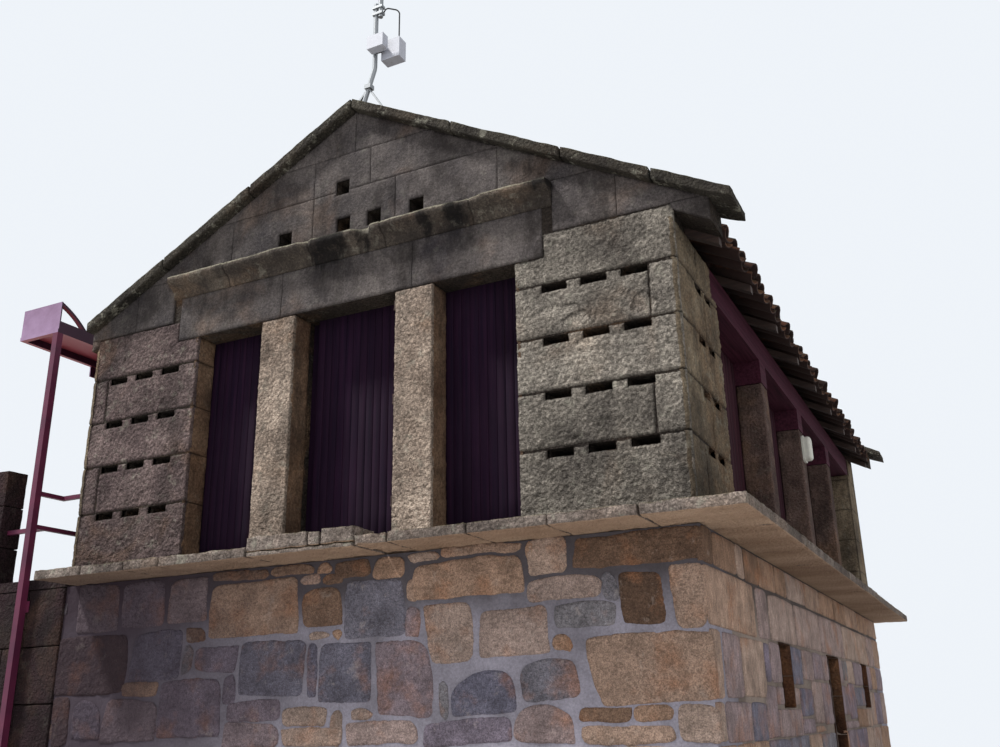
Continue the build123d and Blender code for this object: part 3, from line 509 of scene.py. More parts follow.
# %% Other finishes
def clay_finish():
    """Old red clay tiles with black and yellow lichen and moss between them, and painted shade on what faces
    down.
    """
    material, tree = plain_material("clay", (0.3, 0.15, 0.1), 0.93, 0.2)
    deep, red, pale = srgb(62, 42, 36), srgb(96, 62, 48), srgb(126, 90, 68)
    body = ramp(tree, tone_of(tree), (0.0, deep), (0.5, red), (1.0, pale))
    black = patches(tree, 0.40, 0.56, 9, 8, 0.75)
    sooty = laid_over(tree, black, 0.85, body, srgb(38, 33, 31))
    spots = patches(tree, 0.60, 0.66, 26, 6, 0.7)
    spotted = laid_over(tree, spots, 0.5, sooty, srgb(128, 122, 100))
    tufts = patches(tree, 0.50, 0.60, 6, 9, 0.75)
    mossy = laid_over(tree, tufts, facing(tree, 0.0, 0.6), spotted, srgb(66, 66, 34))
    # painted shade on the faces that look down
    dark = blend(tree, facing(tree, 0.1, 0.6, -1), mossy, srgb(40, 28, 26))
    return finished(material, dark, (noise(tree, 60, 6, 0.7), 0.006, 0.7))


def steel_paint(name, deep, pale, rust=0.25, low=None, kept=None):
    """Dull paint on steel, with dust on top and rust spots; low is the colour of what faces down, and
    kept is shade painted on every side but the front."""
    material, tree = plain_material(name, deep, 0.5, 0.35)
    coat = ramp(tree, noise(tree, 4, 6, 0.6), (0.3, deep), (0.7, pale))
    if kept:
        # painted shade: every face but the front takes the dark kept colour
        coat = blend(tree, facing(tree, 0.4, 0.9, -1, "Y"), kept, coat)
    spots = patches(tree, 0.62, 0.68, 22, 8, 0.75)
    rusty = laid_over(tree, spots, rust, coat, srgb(84, 46, 34))
    dusty = laid_over(tree, facing(tree, 0.4, 1.0), 0.3, rusty, srgb(150, 140, 138))
    if low:
        dusty = blend(tree, facing(tree, 0.4, 0.9, -1), dusty, low)
    return finished(material, dusty, (noise(tree, 90, 5, 0.7), 0.001, 0.5))


def metal_finish(name, colour, roughness, metallic, spots_colour, spots, scale=30):
    """Bare or coated metal with spots of another colour."""
    material, tree = plain_material(name, colour, roughness, metallic=metallic)
    mottled = blend(tree, noise(tree, scale, 4, 0.6), tuple(0.75 * c for c in colour), colour)
    spotted = laid_over(tree, patches(tree, 0.56, 0.66, 14, 8, 0.75), spots, mottled, spots_colour)
    return finished(material, spotted, (noise(tree, 130, 4, 0.7), 0.0008, 0.5))


clay = clay_finish()
porch_paint = steel_paint("porch_paint", srgb(68, 22, 48), srgb(94, 32, 60))
# the canopy's dark sides are painted shade
canopy_paint = steel_paint("canopy_paint", srgb(118, 90, 118), srgb(150, 124, 156), rust=0.1,
                           low=srgb(130, 52, 62), kept=srgb(50, 20, 42))
zinc = metal_finish("zinc", srgb(138, 142, 146), 0.45, 0.6, srgb(108, 106, 104), 0.4, 60)
enamel = metal_finish("enamel", srgb(184, 188, 200), 0.45, 0.0, srgb(140, 128, 118), 0.35)
iron = metal_finish("rusty_iron", srgb(58, 40, 34), 0.75, 0.3, srgb(112, 62, 38), 0.7)
sheath = metal_finish("black_sheath", srgb(26, 26, 28), 0.5, 0.0, srgb(60, 58, 56), 0.3)
lamp_plastic = metal_finish("lamp_plastic", srgb(206, 206, 198), 0.55, 0.0, srgb(150, 146, 134), 0.4)
print("other finishes made")

# %% [markdown]
# ## How a stone is made
# A stone that shows one face is a fine grid over that face, with a short skirt that runs into the
# wall. Rows of grid lines stand close to each edge, so the worn arris is narrow and the face stays
# broad. Where a slot or vent is cut, the grid leaves out those cells. The face is roughened with
# two kinds of height: smooth random hills of several sizes, and shallow pits packed side by side,
# which is what a pointed chisel leaves. How deep a point lies is kept with it, so that the finish
# can paint shade down in the pits, on the worn edges and in the joints.

# %% Random heights
def drawn(cell, which=0):
    """A number from -1 to 1 that belongs to one cell of a lattice."""
    key = cell @ np.array((73856093, 19349663, 83492791))[:cell.shape[1]] + 40503 * which
    key = (key ^ (key >> 13)) * 1274126177
    return ((key ^ (key >> 16)) & 0xFFFF) / 32767.5 - 1


def hills(points, size, seed):
    """Smooth random heights from -1 to 1 whose humps are as wide as size, in metres."""
    at = points / size + 31.7 * (seed % 89)
    cell = np.floor(at).astype(np.int64)
    part = at - cell
    part = part * part * (3 - 2 * part)
    total = np.zeros(len(points))
    for step_to in np.ndindex(*(2,) * points.shape[1]):
        total += np.prod(np.where(step_to, part, 1 - part), axis=1) * drawn(cell + step_to)
    return total


FADE = 0.6


def rugged(points, size, seed, octaves=4):
    """Hills with smaller and lower hills on them."""
    heights = sum(FADE ** k * hills(points, size / 2 ** k, seed + k) for k in range(octaves))
    return heights / sum(FADE ** k for k in range(octaves)) * 1.5


def pits(flat, size, seed):
    """Depth from 0 to 1 of shallow pits packed side by side."""
    at = flat / size + 17.3 * (seed % 83)
    cell = np.floor(at).astype(np.int64)
    nearest = np.full(len(flat), 4.0)
    for across in (-1, 0, 1):
        for up in (-1, 0, 1):
            there = cell + (across, up)
            middle = there + 0.5 + 0.45 * np.stack([drawn(there, 1), drawn(there, 2)], -1)
            nearest = np.minimum(nearest, ((middle - at) ** 2).sum(axis=1))
    return 1 - np.clip(np.sqrt(nearest), 0, 1)


print("random heights ready")

# %% [markdown]
# All the stones of one kind become one mesh. It could be joined from hundreds of objects, but that
# is slow, so each stone's points and four-cornered faces are gathered first and the mesh is made
# once. It then rides on its body, and its slot names what it is made of.

# %% Grids, and one mesh for many stones
def grid_lines(low, high, step, rim, cuts=()):
    """Places across a stone, with a close pair at each edge and cut."""
    stops = sorted({low, high, *(c for c in cuts if low + 0.004 < c < high - 0.004)})
    lines = []
    for a, b in pairwise(stops):
        r = min(rim, (b - a) / 4)
        inside = np.linspace(a + r, b - r, max(1, round((b - a - 2 * r) / step)) + 1)
        lines += [a, *inside]
    return np.array([*lines, stops[-1]])


def grid_quads(shape, flip=False):
    """The four corner numbers of every cell in a grid of points; flip turns the faces over."""
    index = np.arange(shape[0] * shape[1]).reshape(shape)
    corners = [index[:-1, :-1], index[1:, :-1], index[1:, 1:], index[:-1, 1:]]
    if flip:
        corners[1], corners[3] = corners[3], corners[1]
    return np.stack(corners, -1)


class Masonry:
    """Gathers stones, boards or tiles and makes one mesh of them."""

    def __init__(self):
        self.points = []
        self.quads = []
        self.tones = []
        self.pit_shade = []
        self.total = 0

    def add(self, points, quads, tone, hollow=0.0):
        """Takes in one stone, whose faces count its own points from zero."""
        self.points.append(points)
        self.quads.append(quads + self.total)
        self.tones.append(np.full(len(points), tone))
        self.pit_shade.append(np.broadcast_to(hollow, len(points)))
        self.total += len(points)

    def make(self, name, material, body=BODY):
        """Makes one object of all the stones, whose points carry their tone, hollow and soot."""
        points = np.concatenate(self.points).astype(np.float32)
        quads = np.concatenate(self.quads).astype(np.int32)
        mesh = bpy.data.meshes.new(name)
        mesh.vertices.add(len(points))
        mesh.vertices.foreach_set("co", points.ravel())
        mesh.loops.add(quads.size)
        mesh.loops.foreach_set("vertex_index", quads.ravel())
        mesh.polygons.add(len(quads))
        mesh.polygons.foreach_set("loop_start", np.arange(0, quads.size, 4, dtype=np.int32))
        mesh.polygons.foreach_set("use_smooth", np.full(len(quads), True))
        mesh.update(calc_edges=True)
        carried = {"tone": np.concatenate(self.tones), "hollow": np.concatenate(self.pit_shade),
                   "soot": soot_on(points.astype(float))}
        for kind, values in carried.items():
            numbers = mesh.attributes.new(kind, "FLOAT", "POINT")
            numbers.data.foreach_set("value", values.astype(np.float32))
        mesh.validate()
        mesh.materials.append(material)
        obj = bpy.data.objects.new(name, mesh)
        scene.collection.objects.link(obj)
        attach(obj, body)
        print(name, len(quads), "faces")
        return obj


print("grids and Masonry ready")

# %% [markdown]
# ## Where water has run black
# Rain drips off the broken cornice and the coping and leaves black growth below. Each stain has a
# place across, a height, a half width, a half height and a strength, and the finish then breaks its
# edges. They are kept with the points of the mesh, so no picture has to be wrapped round the stone.

# %% Stains
front_stains = (
    (-0.12, 4.94, 0.24, 0.28, 0.62), (0.13, 4.86, 0.08, 0.22, 0.5), (1.02, 4.96, 0.14, 0.22, 0.62),
    (-1.10, 4.86, 0.24, 0.17, 0.6), (-1.45, 4.93, 0.14, 0.10, 0.4), (0.63, 4.96, 0.04, 0.24, 0.5),
    (-0.12, 5.10, 0.17, 0.14, 1.5), (0.19, 5.10, 0.05, 0.12, 1.3), (0.76, 5.10, 0.05, 0.12, 1.2),
    (1.02, 5.10, 0.11, 0.12, 1.5), (1.66, 5.16, 0.14, 0.06, 1.2), (-0.70, 5.17, 0.30, 0.03, 0.5),
    (0.05, 5.42, 0.60, 0.20, 0.35), (-1.00, 5.35, 0.45, 0.15, 0.30), (1.58, 5.38, 0.30, 0.14, 0.6),
    (2.10, 5.16, 0.30, 0.10, 0.35), (-2.20, 5.00, 0.45, 0.20, 0.45), (-1.90, 5.30, 0.30, 0.10, 0.4),
    (2.48, 2.92, 0.14, 0.20, 0.45), (2.10, 2.78, 0.30, 0.05, 0.5), (-2.40, 2.85, 0.25, 0.12, 0.45),
    (-1.70, 4.20, 0.10, 0.30, 0.3),
)
right_stains = (
    (0.34, 3.90, 0.15, 0.22, 0.75), (0.42, 3.66, 0.18, 0.12, 0.7), (0.60, 3.60, 0.12, 0.06, 0.6),
    (0.34, 4.40, 0.12, 0.07, 0.5), (0.30, 3.46, 0.10, 0.08, 0.5), (0.14, 2.86, 0.30, 0.16, 0.6),
    (0.45, 3.05, 0.20, 0.08, 0.5), (0.20, 4.66, 0.40, 0.10, 0.4),
)
LEDGE_TOP = 2.740


def soot_on(points):
    """How black each point of the front and of the right side is; the ground room stays clean."""
    amount = np.zeros(len(points))
    bend = 0.06 * rugged(points * (1, 1, 0.4), 0.12, 17)
    on_front, on_right = points[:, 1] < 0.02, points[:, 0] > 2.595
    for stains, across, there in ((front_stains, 0, on_front), (right_stains, 1, on_right)):
        for at, z, half_width, half_height, strength in stains:
            sideways = (points[:, across] + bend - at) / half_width
            upwards = (points[:, 2] + bend - z) / half_height
            spread = np.clip(1.4 - (sideways ** 2 + upwards ** 2), 0, 1)
            amount = np.maximum(amount, strength * spread * there)
    return amount * (points[:, 2] > LEDGE_TOP - 0.01)


print(len(front_stains) + len(right_stains), "stains")

# %% [markdown]
# A wall faces one way, so each stone's own across and up are turned into the wall's by a small
# function. The third number is how far a point stands out of the wall.

# %% Wall directions
def plane(way, at):
    """Turns a stone's own across, up and out into those of a plane that faces one way."""
    ways = {
        "front": lambda u, v, out: (u, at - out, v),
        "right": lambda u, v, out: (at + out, u, v),
        "back": lambda u, v, out: (-u, at + out, v),
        "left": lambda u, v, out: (at - out, -u, v),
        "up": lambda u, v, out: (u, v, at + out),
        "down": lambda u, v, out: (v, u, at - out),
    }
    return lambda u, v, out: np.stack(ways[way](u, v, out), -1)


def turned(rows):
    """The same stones or holes for a face that looks the other way."""
    return [(-b, -a, *rest) for a, b, *rest in rows]


def metres(rows):
    """Rows read off in millimetres, with a colour number at the end."""
    return [(a / 1000, b / 1000, c / 1000, d / 1000, t) for a, b, c, d, t in rows]


print("wall directions ready")

# %% [markdown]
# One stone's face is a grid. Points near its edges are worn back, holes get an edge of their own,
# and every open edge is drawn straight back into the wall as a skirt. A keen edge is one that
# meets another face at a corner of the building, where wear would open a gap.

# %% One stone's face
def face_stone(work, place, us, vs, keep, tone, *, bend, seed, rough, hump, arris, wear, skirt,
               peck=0.0, chip=0.0, keen=(), dents=()):
    """One stone face, uneven and worn round its edges, with a skirt into the wall."""
    grid_u, grid_v = np.meshgrid(us, vs, indexing="ij")
    quads = grid_quads(grid_u.shape)[keep]
    if not len(quads):
        return
    starts, ends = quads.ravel(), np.roll(quads, -1, axis=1).ravel()
    lone = ~np.isin(ends * grid_u.size + starts, starts * grid_u.size + ends)
    a, b = starts[lone], ends[lone]
    rim = np.unique(np.concatenate([a, b]))
    u, v = grid_u.ravel(), grid_v.ravel()
    left, right = (0.010 * any(abs(at - k) < 0.012 for k in keen) for at in (us[0], us[-1]))
    to_side = np.minimum(u - us[0] + left, us[-1] - u + right)
    edge = np.minimum(to_side, np.minimum(v - vs[0], vs[-1] - v))
    in_hole = np.isin(np.arange(u.size), rim) & (edge > 0.012)
    edge[in_hole] = 0
    u, v = bend(u.copy(), v.copy())
    flat = np.stack([u, v], -1)
    deep = 0.5 + 0.55 * rugged(flat, hump, seed)
    if peck:
        shaken = flat + 0.008 * np.stack([hills(flat, 0.03, seed + 3), hills(flat, 0.03, seed + 4)], -1)
        deep = (1 - peck) * deep + peck * pits(shaken, 0.030, seed)
    deep = np.clip(deep, 0, 1)
    worn = np.clip(1 - edge / (wear * (1 + 0.8 * rugged(flat, 0.09, seed + 9))), 0, 1) ** 1.4
    chipped = np.clip(rugged(flat, 0.26, seed + 21, 3) * 3 - 0.7, 0, 1)
    out = -rough * deep - arris * worn - chip * chipped
    # painted shadow: a dark band along the upper edge of each flaked spot, where the shadow falls
    dent_shadow = np.zeros_like(out)
    for x, z, half_width, half_height, depth in dents:
        sideways = (u + 0.02 * hills(flat, 0.05, seed) - x) / half_width
        upwards = (v + 0.02 * hills(flat, 0.04, seed + 1) - z) / half_height
        flaked = np.clip(3 * (1.1 - (sideways ** 2 + upwards ** 2)), 0, 1)
        out = out + flaked * (np.maximum(-depth * 1.3 - 0.1 * (v - z), -0.0165) - out)
        deep = deep * (1 - 0.8 * flaked)
        dent_shadow = np.maximum(dent_shadow, 4 * flaked * (1 - flaked) * (v > z - 0.3 * half_height))
    # painted shade: the finish darkens by this number in the pits, on the worn edges and along the flakes
    hollow = np.clip(0.75 * deep ** 1.5 + 0.55 * worn + 0.75 * dent_shadow, 0, 1)
    points = place(u, v, out)
    back = place(u[rim], v[rim], out[rim] - skirt)
    there = np.full(grid_u.size, -1)
    there[rim] = grid_u.size + np.arange(len(rim))
    sides = np.stack([b, a, there[a], there[b]], -1)
    quads = np.concatenate([quads, sides])
    used, compact = np.unique(quads, return_inverse=True)
    # the skirts down into the joints carry more painted shade
    hollow = np.concatenate([hollow, 0.3 + 0.5 * hollow[rim]])[used]
    work.add(np.concatenate([points, back])[used], compact.reshape(quads.shape), tone, hollow)


print("stone face ready")

# %% [markdown]
# A wall is laid from a list of stones. Each leaves half a joint all round and leaves out the cells
# of its grid that lie in a hole. Where the wall ends on a slope, its points are pressed onto it.

# %% Laying stones
def lay(work, place, stones, holes=(), *, step, joint, seed, shape=None, top=None, foot=None, **kind):
    """Lays stones, each (low u, high u, low v, high v, tone), leaving the holes open."""
    for n, (u0, u1, v0, v1, tone) in enumerate(stones):
        a, b, c, d = u0 + joint / 2, u1 - joint / 2, v0 + joint / 2, v1 - joint / 2
        near = [h for h in holes if h[0] < b and h[1] > a and h[2] < d and h[3] > c]
        us = grid_lines(a, b, step, kind["arris"], [x for h in near for x in h[:2]])
        vs = grid_lines(c, d, step, kind["arris"], [z for h in near for z in h[2:]])
        middle_u, middle_v = np.meshgrid((us[1:] + us[:-1]) / 2, (vs[1:] + vs[:-1]) / 2, indexing="ij")
        keep = np.ones(middle_u.shape, bool)
        for h in near:
            keep &= ~((middle_u > h[0]) & (middle_u < h[1]) & (middle_v > h[2]) & (middle_v < h[3]))
        if top is not None:
            keep &= vs[None, :-1] < np.maximum(top(us[1:]), top(us[:-1]))[:, None] - 0.002
        if foot is not None:
            keep &= vs[None, 1:] > np.minimum(foot(us[1:]), foot(us[:-1]))[:, None] + 0.002

        def bend(u, v, box=(a, b, c, d), number=n):
            if shape:
                u, v = shape(u, v, box, number)
            if top is not None:
                v = np.minimum(v, top(u))
            if foot is not None:
                v = np.maximum(v, foot(u))
            return u, v

        face_stone(work, place, us, vs, keep, tone, bend=bend, seed=seed * 100 + n, **kind)


print("stones can be laid")

# %% [markdown]
# ## The ground room's rubble
# The stones of the front are laid where they are on the real wall, read off a squared-up view:
# each entry gives left, right, bottom and top in millimetres and the colour's place on the ramp.
# A stone's four corners are shifted at random, its edges wander, and its corners are rounded a
# little, so that no outline is a true rectangle.

# %% Rubble: a stone's outline
# left and bottom of a stone, then how far its foot leans in and its two top corners are cut off
uneven = {
    (1.820, 1.665): (0.120, 0.030, 0.0), (0.715, 1.925): (0.070, 0.0, 0.020),
    (1.150, 1.945): (0.0, 0.010, 0.0), (1.400, 1.685): (0.050, 0.050, 0.010),
    (0.945, 1.605): (0.0, 0.090, 0.030), (0.365, 1.615): (0.010, 0.0, 0.060),
    (1.370, 1.440): (0.0, 0.040, 0.050), (0.640, 2.325): (0.0, 0.015, 0.0),
    (1.665, 2.095): (0.0, 0.020, 0.010), (-0.270, 2.195): (0.020, 0.040, 0.030),
    (2.395, 2.065): (0.030, 0.0, 0.0), (-2.410, 1.490): (0.020, 0.040, 0.040),
    (-2.615, 1.815): (0.0, 0.0, 0.030), (-1.845, 1.905): (0.0, 0.030, 0.010),
}
SAME_STONE = 0.015


def rubble_shape(seed, shift=0.024, corner=0.015, wander=0.013):
    """Shifts a stone's corners, rounds them a little and lets its edges wander."""
    def shape(u, v, box, number):
        a, b, c, d = box
        s, t = (u - a) / (b - a), (v - c) / (d - c)
        rng = np.random.default_rng(seed * 1000 + number)
        moves = np.minimum(rng.uniform(-0.5, 1, (2, 2, 2)) * shift, 0.07 * np.array([b - a, d - c]))
        rounds = rng.uniform(0.2, 1.8, (2, 2)) * corner
        usual = rng.uniform(0, 0.7 * shift, 3)

        def from_corners(at):
            """Spreads four corner numbers over the stone."""
            return (1 - s) * ((1 - t) * at[0, 0] + t * at[0, 1]) + s * ((1 - t) * at[1, 0] + t * at[1, 1])

        odd = [how for (x, z), how in uneven.items() if max(abs(a - x), abs(c - z)) < SAME_STONE]
        lean, left_cut, right_cut = odd[0] if odd else usual
        p, q = 2 * s - 1, 2 * t - 1
        near_foot = np.abs(q) ** max(6, (d - c) / 0.018)
        near_side = np.abs(p) ** max(6, (b - a) / 0.018)
        cut = from_corners(rounds)
        u = u - p * from_corners(moves[..., 0]) - cut * p * near_foot + lean * (1 - s) * (1 - t) ** 1.5
        u = u + (left_cut * (1 - s) ** 2 - right_cut * s ** 2) * t ** 3
        sunk = (left_cut * (1 - s) ** 4 + right_cut * s ** 4) * t ** 3
        v = v - q * from_corners(moves[..., 1]) - cut * q * near_side - sunk
        flat = np.stack([u, v], -1)
        return u + wander * rugged(flat, 0.30, seed), v + wander * rugged(flat, 0.30, seed + 3)
    return shape


print(len(uneven), "stones with an outline of their own")

# %% [markdown]
# The list of the front's stones goes from the ledge down and from left to right. It ends where the
# picture ends, a little under half way down the room.

# %% Rubble: the front's stones
front_rubble = metres([
    (-2475, -2020, 2285, 2650, 0.62), (-2010, -1545, 2275, 2650, 0.66), (-1500, -1120, 2285, 2640, 0.58),
    (-1095, -285, 2165, 2575, 0.33), (-1110, -560, 2585, 2655, 0.20), (-550, -150, 2578, 2655, 0.24),
    (-140, -20, 2578, 2655, 0.30), (-280, -110, 2500, 2572, 0.45), (-270, 85, 2195, 2490, 0.20),
    (-200, -20, 2125, 2175, 0.42), (-95, 85, 2500, 2570, 0.18), (10, 90, 2115, 2180, 0.30),
    (-2615, -1870, 1815, 2260, 0.06), (-1845, -1330, 1905, 2250, 0.78), (-1310, -1115, 2155, 2265, 0.18),
    (-1320, -1225, 1930, 2140, 0.88), (-1215, -800, 1945, 2135, 0.70), (-785, -205, 1755, 2145, 0.82),
    (-195, -115, 1730, 2110, 0.80), (-100, 345, 1690, 2100, 0.82), (-1910, -1530, 1790, 1885, 0.30),
    (-2065, -1525, 1470, 1780, 0.62), (-1515, -925, 1485, 1890, 0.68), (-910, -795, 1700, 1925, 0.70),
    (-2410, -2080, 1490, 1790, 0.74), (-2615, -2425, 1440, 1795, 0.08), (-885, -395, 1610, 1735, 0.66),
    (-900, -400, 1440, 1595, 0.60), (-385, -10, 1570, 1680, 0.42), (-385, 110, 1440, 1560, 0.40),
    (5, 310, 2520, 2655, 0.16), (325, 600, 2505, 2655, 0.30), (610, 860, 2595, 2655, 0.40),
    (95, 590, 2115, 2500, 0.84), (600, 690, 2325, 2490, 0.34), (590, 700, 2110, 2310, 0.60),
    (640, 1465, 2325, 2590, 0.32), (870, 1465, 2595, 2655, 0.34), (1475, 1550, 2545, 2655, 0.30),
    (1490, 1785, 2425, 2655, 0.40), (1480, 1975, 2265, 2415, 0.46), (1985, 2085, 2245, 2425, 0.88),
    (1805, 2628, 2435, 2655, 0.17), (2095, 2365, 2085, 2420, 0.13), (2395, 2628, 2065, 2425, 0.36),
    (1665, 2070, 2095, 2245, 0.90), (715, 1100, 1925, 2310, 0.44), (1150, 1620, 1945, 2255, 0.46),
    (1645, 1775, 1965, 2075, 0.27), (365, 835, 1615, 2095, 0.62),
    (945, 1385, 1605, 1895, 0.80), (1400, 1810, 1685, 1935, 0.86), (855, 930, 1600, 1830, 0.90),
    (1820, 2628, 1665, 2055, 0.35), (1370, 1780, 1440, 1665, 0.54), (1795, 2130, 1560, 1650, 0.20),
    (2145, 2385, 1560, 1655, 0.30), (1800, 2390, 1440, 1550, 0.36), (2400, 2628, 1440, 1655, 0.42),
    (730, 1355, 1440, 1590, 0.70), (130, 710, 1440, 1595, 0.50), (5, 120, 1440, 1665, 0.42),
    (170, 345, 1605, 1670, 0.44),
])
print("front stones by hand", len(front_rubble))

# %% [markdown]
# Lower down, behind the picture's edge and on the unseen sides, courses go round the whole room.
# The corner stones alternate long and short, so both faces of a corner show the same stone.

# %% Rubble: courses all round
course_edges = (0.0, 0.335, 0.66, 1.05, 1.43)
upper_edges = (1.43, 1.665, 2.06, 2.43, 2.657)
beds = (0.30, 0.36, 0.42, 0.55, 0.62, 0.68, 0.80, 0.88, 0.18, 0.33)
# the ground room's half width and its two ends, and how far the stones stand out of the mortar
HALF, FRONT, BACK = 2.62, -0.02, 7.972
STANDS = 0.012


def courses(low, high, edges, seed):
    """Courses of stones of uneven length between two ends, with quoins of alternate length."""
    rng = np.random.default_rng(seed)
    stones = []
    for n, (z0, z1) in enumerate(pairwise(edges)):
        start, end = (0.42, 0.78) if n % 2 else (0.78, 0.42)
        cuts = [low, low + start]
        while high - end - cuts[-1] > 0.85:
            cuts.append(cuts[-1] + rng.uniform(0.38, 0.80))
        cuts += [high - end, high]
        for a, b in pairwise(cuts):
            stones.append((a, b, z0, z1, float(rng.choice(beds)) + rng.uniform(-0.03, 0.03)))
    return stones


def above_floor(shape):
    """Keeps a bent stone off the ground."""
    def kept(u, v, box, number):
        u, v = shape(u, v, box, number)
        return u, np.maximum(v, 0.001)
    return kept


all_edges = course_edges + upper_edges[1:]
reach = 0.008
low_front = courses(-HALF - reach, HALF + reach, course_edges, 11)
low_right = courses(FRONT - reach, BACK + reach, course_edges, 12)
left_rows = courses(-BACK - reach, -FRONT + reach, all_edges, 13)
back_rows = courses(-HALF - reach, HALF + reach, all_edges, 14)
coarse = dict(rough=0.010, hump=0.09, peck=0.5, arris=0.008, wear=0.012, skirt=0.03)
front_work = Masonry()
lay(front_work, plane("front", FRONT - STANDS), front_rubble, step=0.016, joint=-0.008,
    shape=rubble_shape(3), seed=31, **coarse)
lay(front_work, plane("front", FRONT - STANDS), low_front, step=0.034, joint=0.016,
    shape=above_floor(rubble_shape(4)), seed=32, **coarse)
front_work.make("base_front_stones", rubble)

# %% [markdown]
# The right side is squarer, with big tan blocks near the corner. The two small windows and the
# doorway are left open; a long grey lintel lies over the doorway.

# %% Rubble: right, left and back
right_rubble = metres([
    (-28, 200, 2435, 2655, 0.17), (215, 770, 2435, 2655, 0.24), (785, 985, 2435, 2655, 0.40),
    (1000, 1420, 2435, 2655, 0.20), (1440, 1955, 2435, 2655, 0.30), (1970, 2380, 2440, 2655, 0.26),
    (2400, 3150, 2440, 2655, 0.44), (3170, 3900, 2440, 2655, 0.36), (3920, 4700, 2440, 2655, 0.30),
    (4720, 5400, 2440, 2655, 0.26), (5420, 6350, 2440, 2655, 0.34), (6370, 7100, 2440, 2655, 0.28),
    (7120, 7980, 2440, 2655, 0.36),
    (-28, 1185, 2075, 2425, 0.35), (1255, 1605, 2070, 2425, 0.52), (1650, 2590, 2085, 2425, 0.46),
    (2610, 3720, 2085, 2425, 0.48), (3740, 5080, 2085, 2425, 0.50), (5100, 6080, 2095, 2425, 0.42),
    (6100, 6840, 2085, 2425, 0.40), (6860, 7440, 2085, 2425, 0.50), (7460, 7980, 2085, 2425, 0.34),
    (-28, 215, 1670, 2060, 0.38), (260, 690, 1680, 2060, 0.55), (705, 1340, 1690, 2055, 0.40),
    (1355, 1520, 1790, 2055, 0.70), (1540, 1880, 1790, 2075, 0.56), (2275, 2690, 1790, 2075, 0.82),
    (2710, 3200, 1830, 2075, 0.52), (3220, 3650, 1850, 2075, 0.60), (3670, 3960, 1850, 2075, 0.54),
    (4610, 4830, 1850, 2075, 0.56), (4850, 5130, 1880, 2075, 0.92), (5150, 5560, 1850, 2085, 0.42),
    (5580, 6210, 1850, 2085, 0.60), (6605, 6960, 1820, 2075, 0.60), (6980, 7400, 1820, 2075, 0.30),
    (7420, 7980, 1820, 2075, 0.62),
    (-28, 185, 1440, 1655, 0.42), (200, 830, 1430, 1660, 0.56), (850, 1255, 1420, 1665, 0.82),
    (1275, 1620, 1430, 1775, 0.58), (1640, 1880, 1640, 1775, 0.56), (1640, 2480, 1420, 1620, 0.54),
    (2275, 2480, 1640, 1775, 0.50), (2500, 3020, 1560, 1775, 0.80), (3040, 3500, 1500, 1835, 0.50),
    (3520, 3960, 1480, 1835, 0.58), (4610, 5000, 1560, 1835, 0.62), (5020, 5480, 1520, 1865, 0.66),
    (5500, 6205, 1640, 1835, 0.84), (6220, 6600, 1430, 1615, 0.40), (6610, 7000, 1440, 1800, 0.44),
    (7020, 7560, 1440, 1800, 0.66), (7580, 7980, 1440, 1800, 0.48), (5500, 6205, 1430, 1620, 0.24),
    (2500, 3020, 1430, 1545, 0.60), (3040, 3500, 1430, 1485, 0.40), (4610, 5480, 1430, 1505, 0.56),
])
right_holes = [(1.875, 2.279, 1.622, 2.083), (3.957, 4.613, -0.1, 2.083), (6.206, 6.610, 1.622, 2.083)]
left_holes = turned(right_holes[::2])
squarer = coarse | dict(rough=0.006)
right_work = Masonry()
lay(right_work, plane("right", HALF + STANDS), right_rubble, right_holes, step=0.030, joint=0.002,
    shape=rubble_shape(5, 0.008, 0.008, 0.003), seed=41, **squarer)
lay(right_work, plane("right", HALF + STANDS), low_right, right_holes, step=0.040, joint=0.012,
    shape=above_floor(rubble_shape(6, 0.008, 0.008, 0.003)), seed=42, **squarer)
right_work.make("base_right_stones", rubble_pale)
left_work = Masonry()
lay(left_work, plane("left", -HALF - STANDS), left_rows, left_holes, step=0.045, joint=0.018,
    shape=above_floor(rubble_shape(7)), seed=51, **coarse)
left_work.make("base_left_stones", rubble)
back_work = Masonry()
lay(back_work, plane("back", BACK + STANDS), back_rows, step=0.045, joint=0.018,
    shape=above_floor(rubble_shape(9)), seed=61, **coarse)
back_work.make("base_back_stones", rubble)

# %% [markdown]
# The plain walls behind the stones are the mortar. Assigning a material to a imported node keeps
# its shape and only changes its finish.

# %% Mortar on the plain walls
def finish_nodes(material, *names):
    """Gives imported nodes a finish, and leaves their shapes alone."""
    for name in names:
        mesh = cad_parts[name].data
        mesh.materials.clear()
        mesh.materials.append(material)


finish_nodes(mortar, "base_front_wall", "base_back_wall", "base_left_wall")
finish_nodes(side_mortar, "base_right_wall_front", "base_right_wall_back", "base_door_head")
print("mortar set")

# %% [markdown]
# The sides, head and sill of each opening are dressed stone too, rust brown and dark with painted
# shade. They are the same one-faced stones, turned to face into the opening, up or down.

# %% Reveals of the openings
openings = Masonry()
cut_stone = dict(step=0.04, joint=0.003, rough=0.003, hump=0.06, arris=0.003, wear=0.006, skirt=0.004)
STEP_IN = 0.004
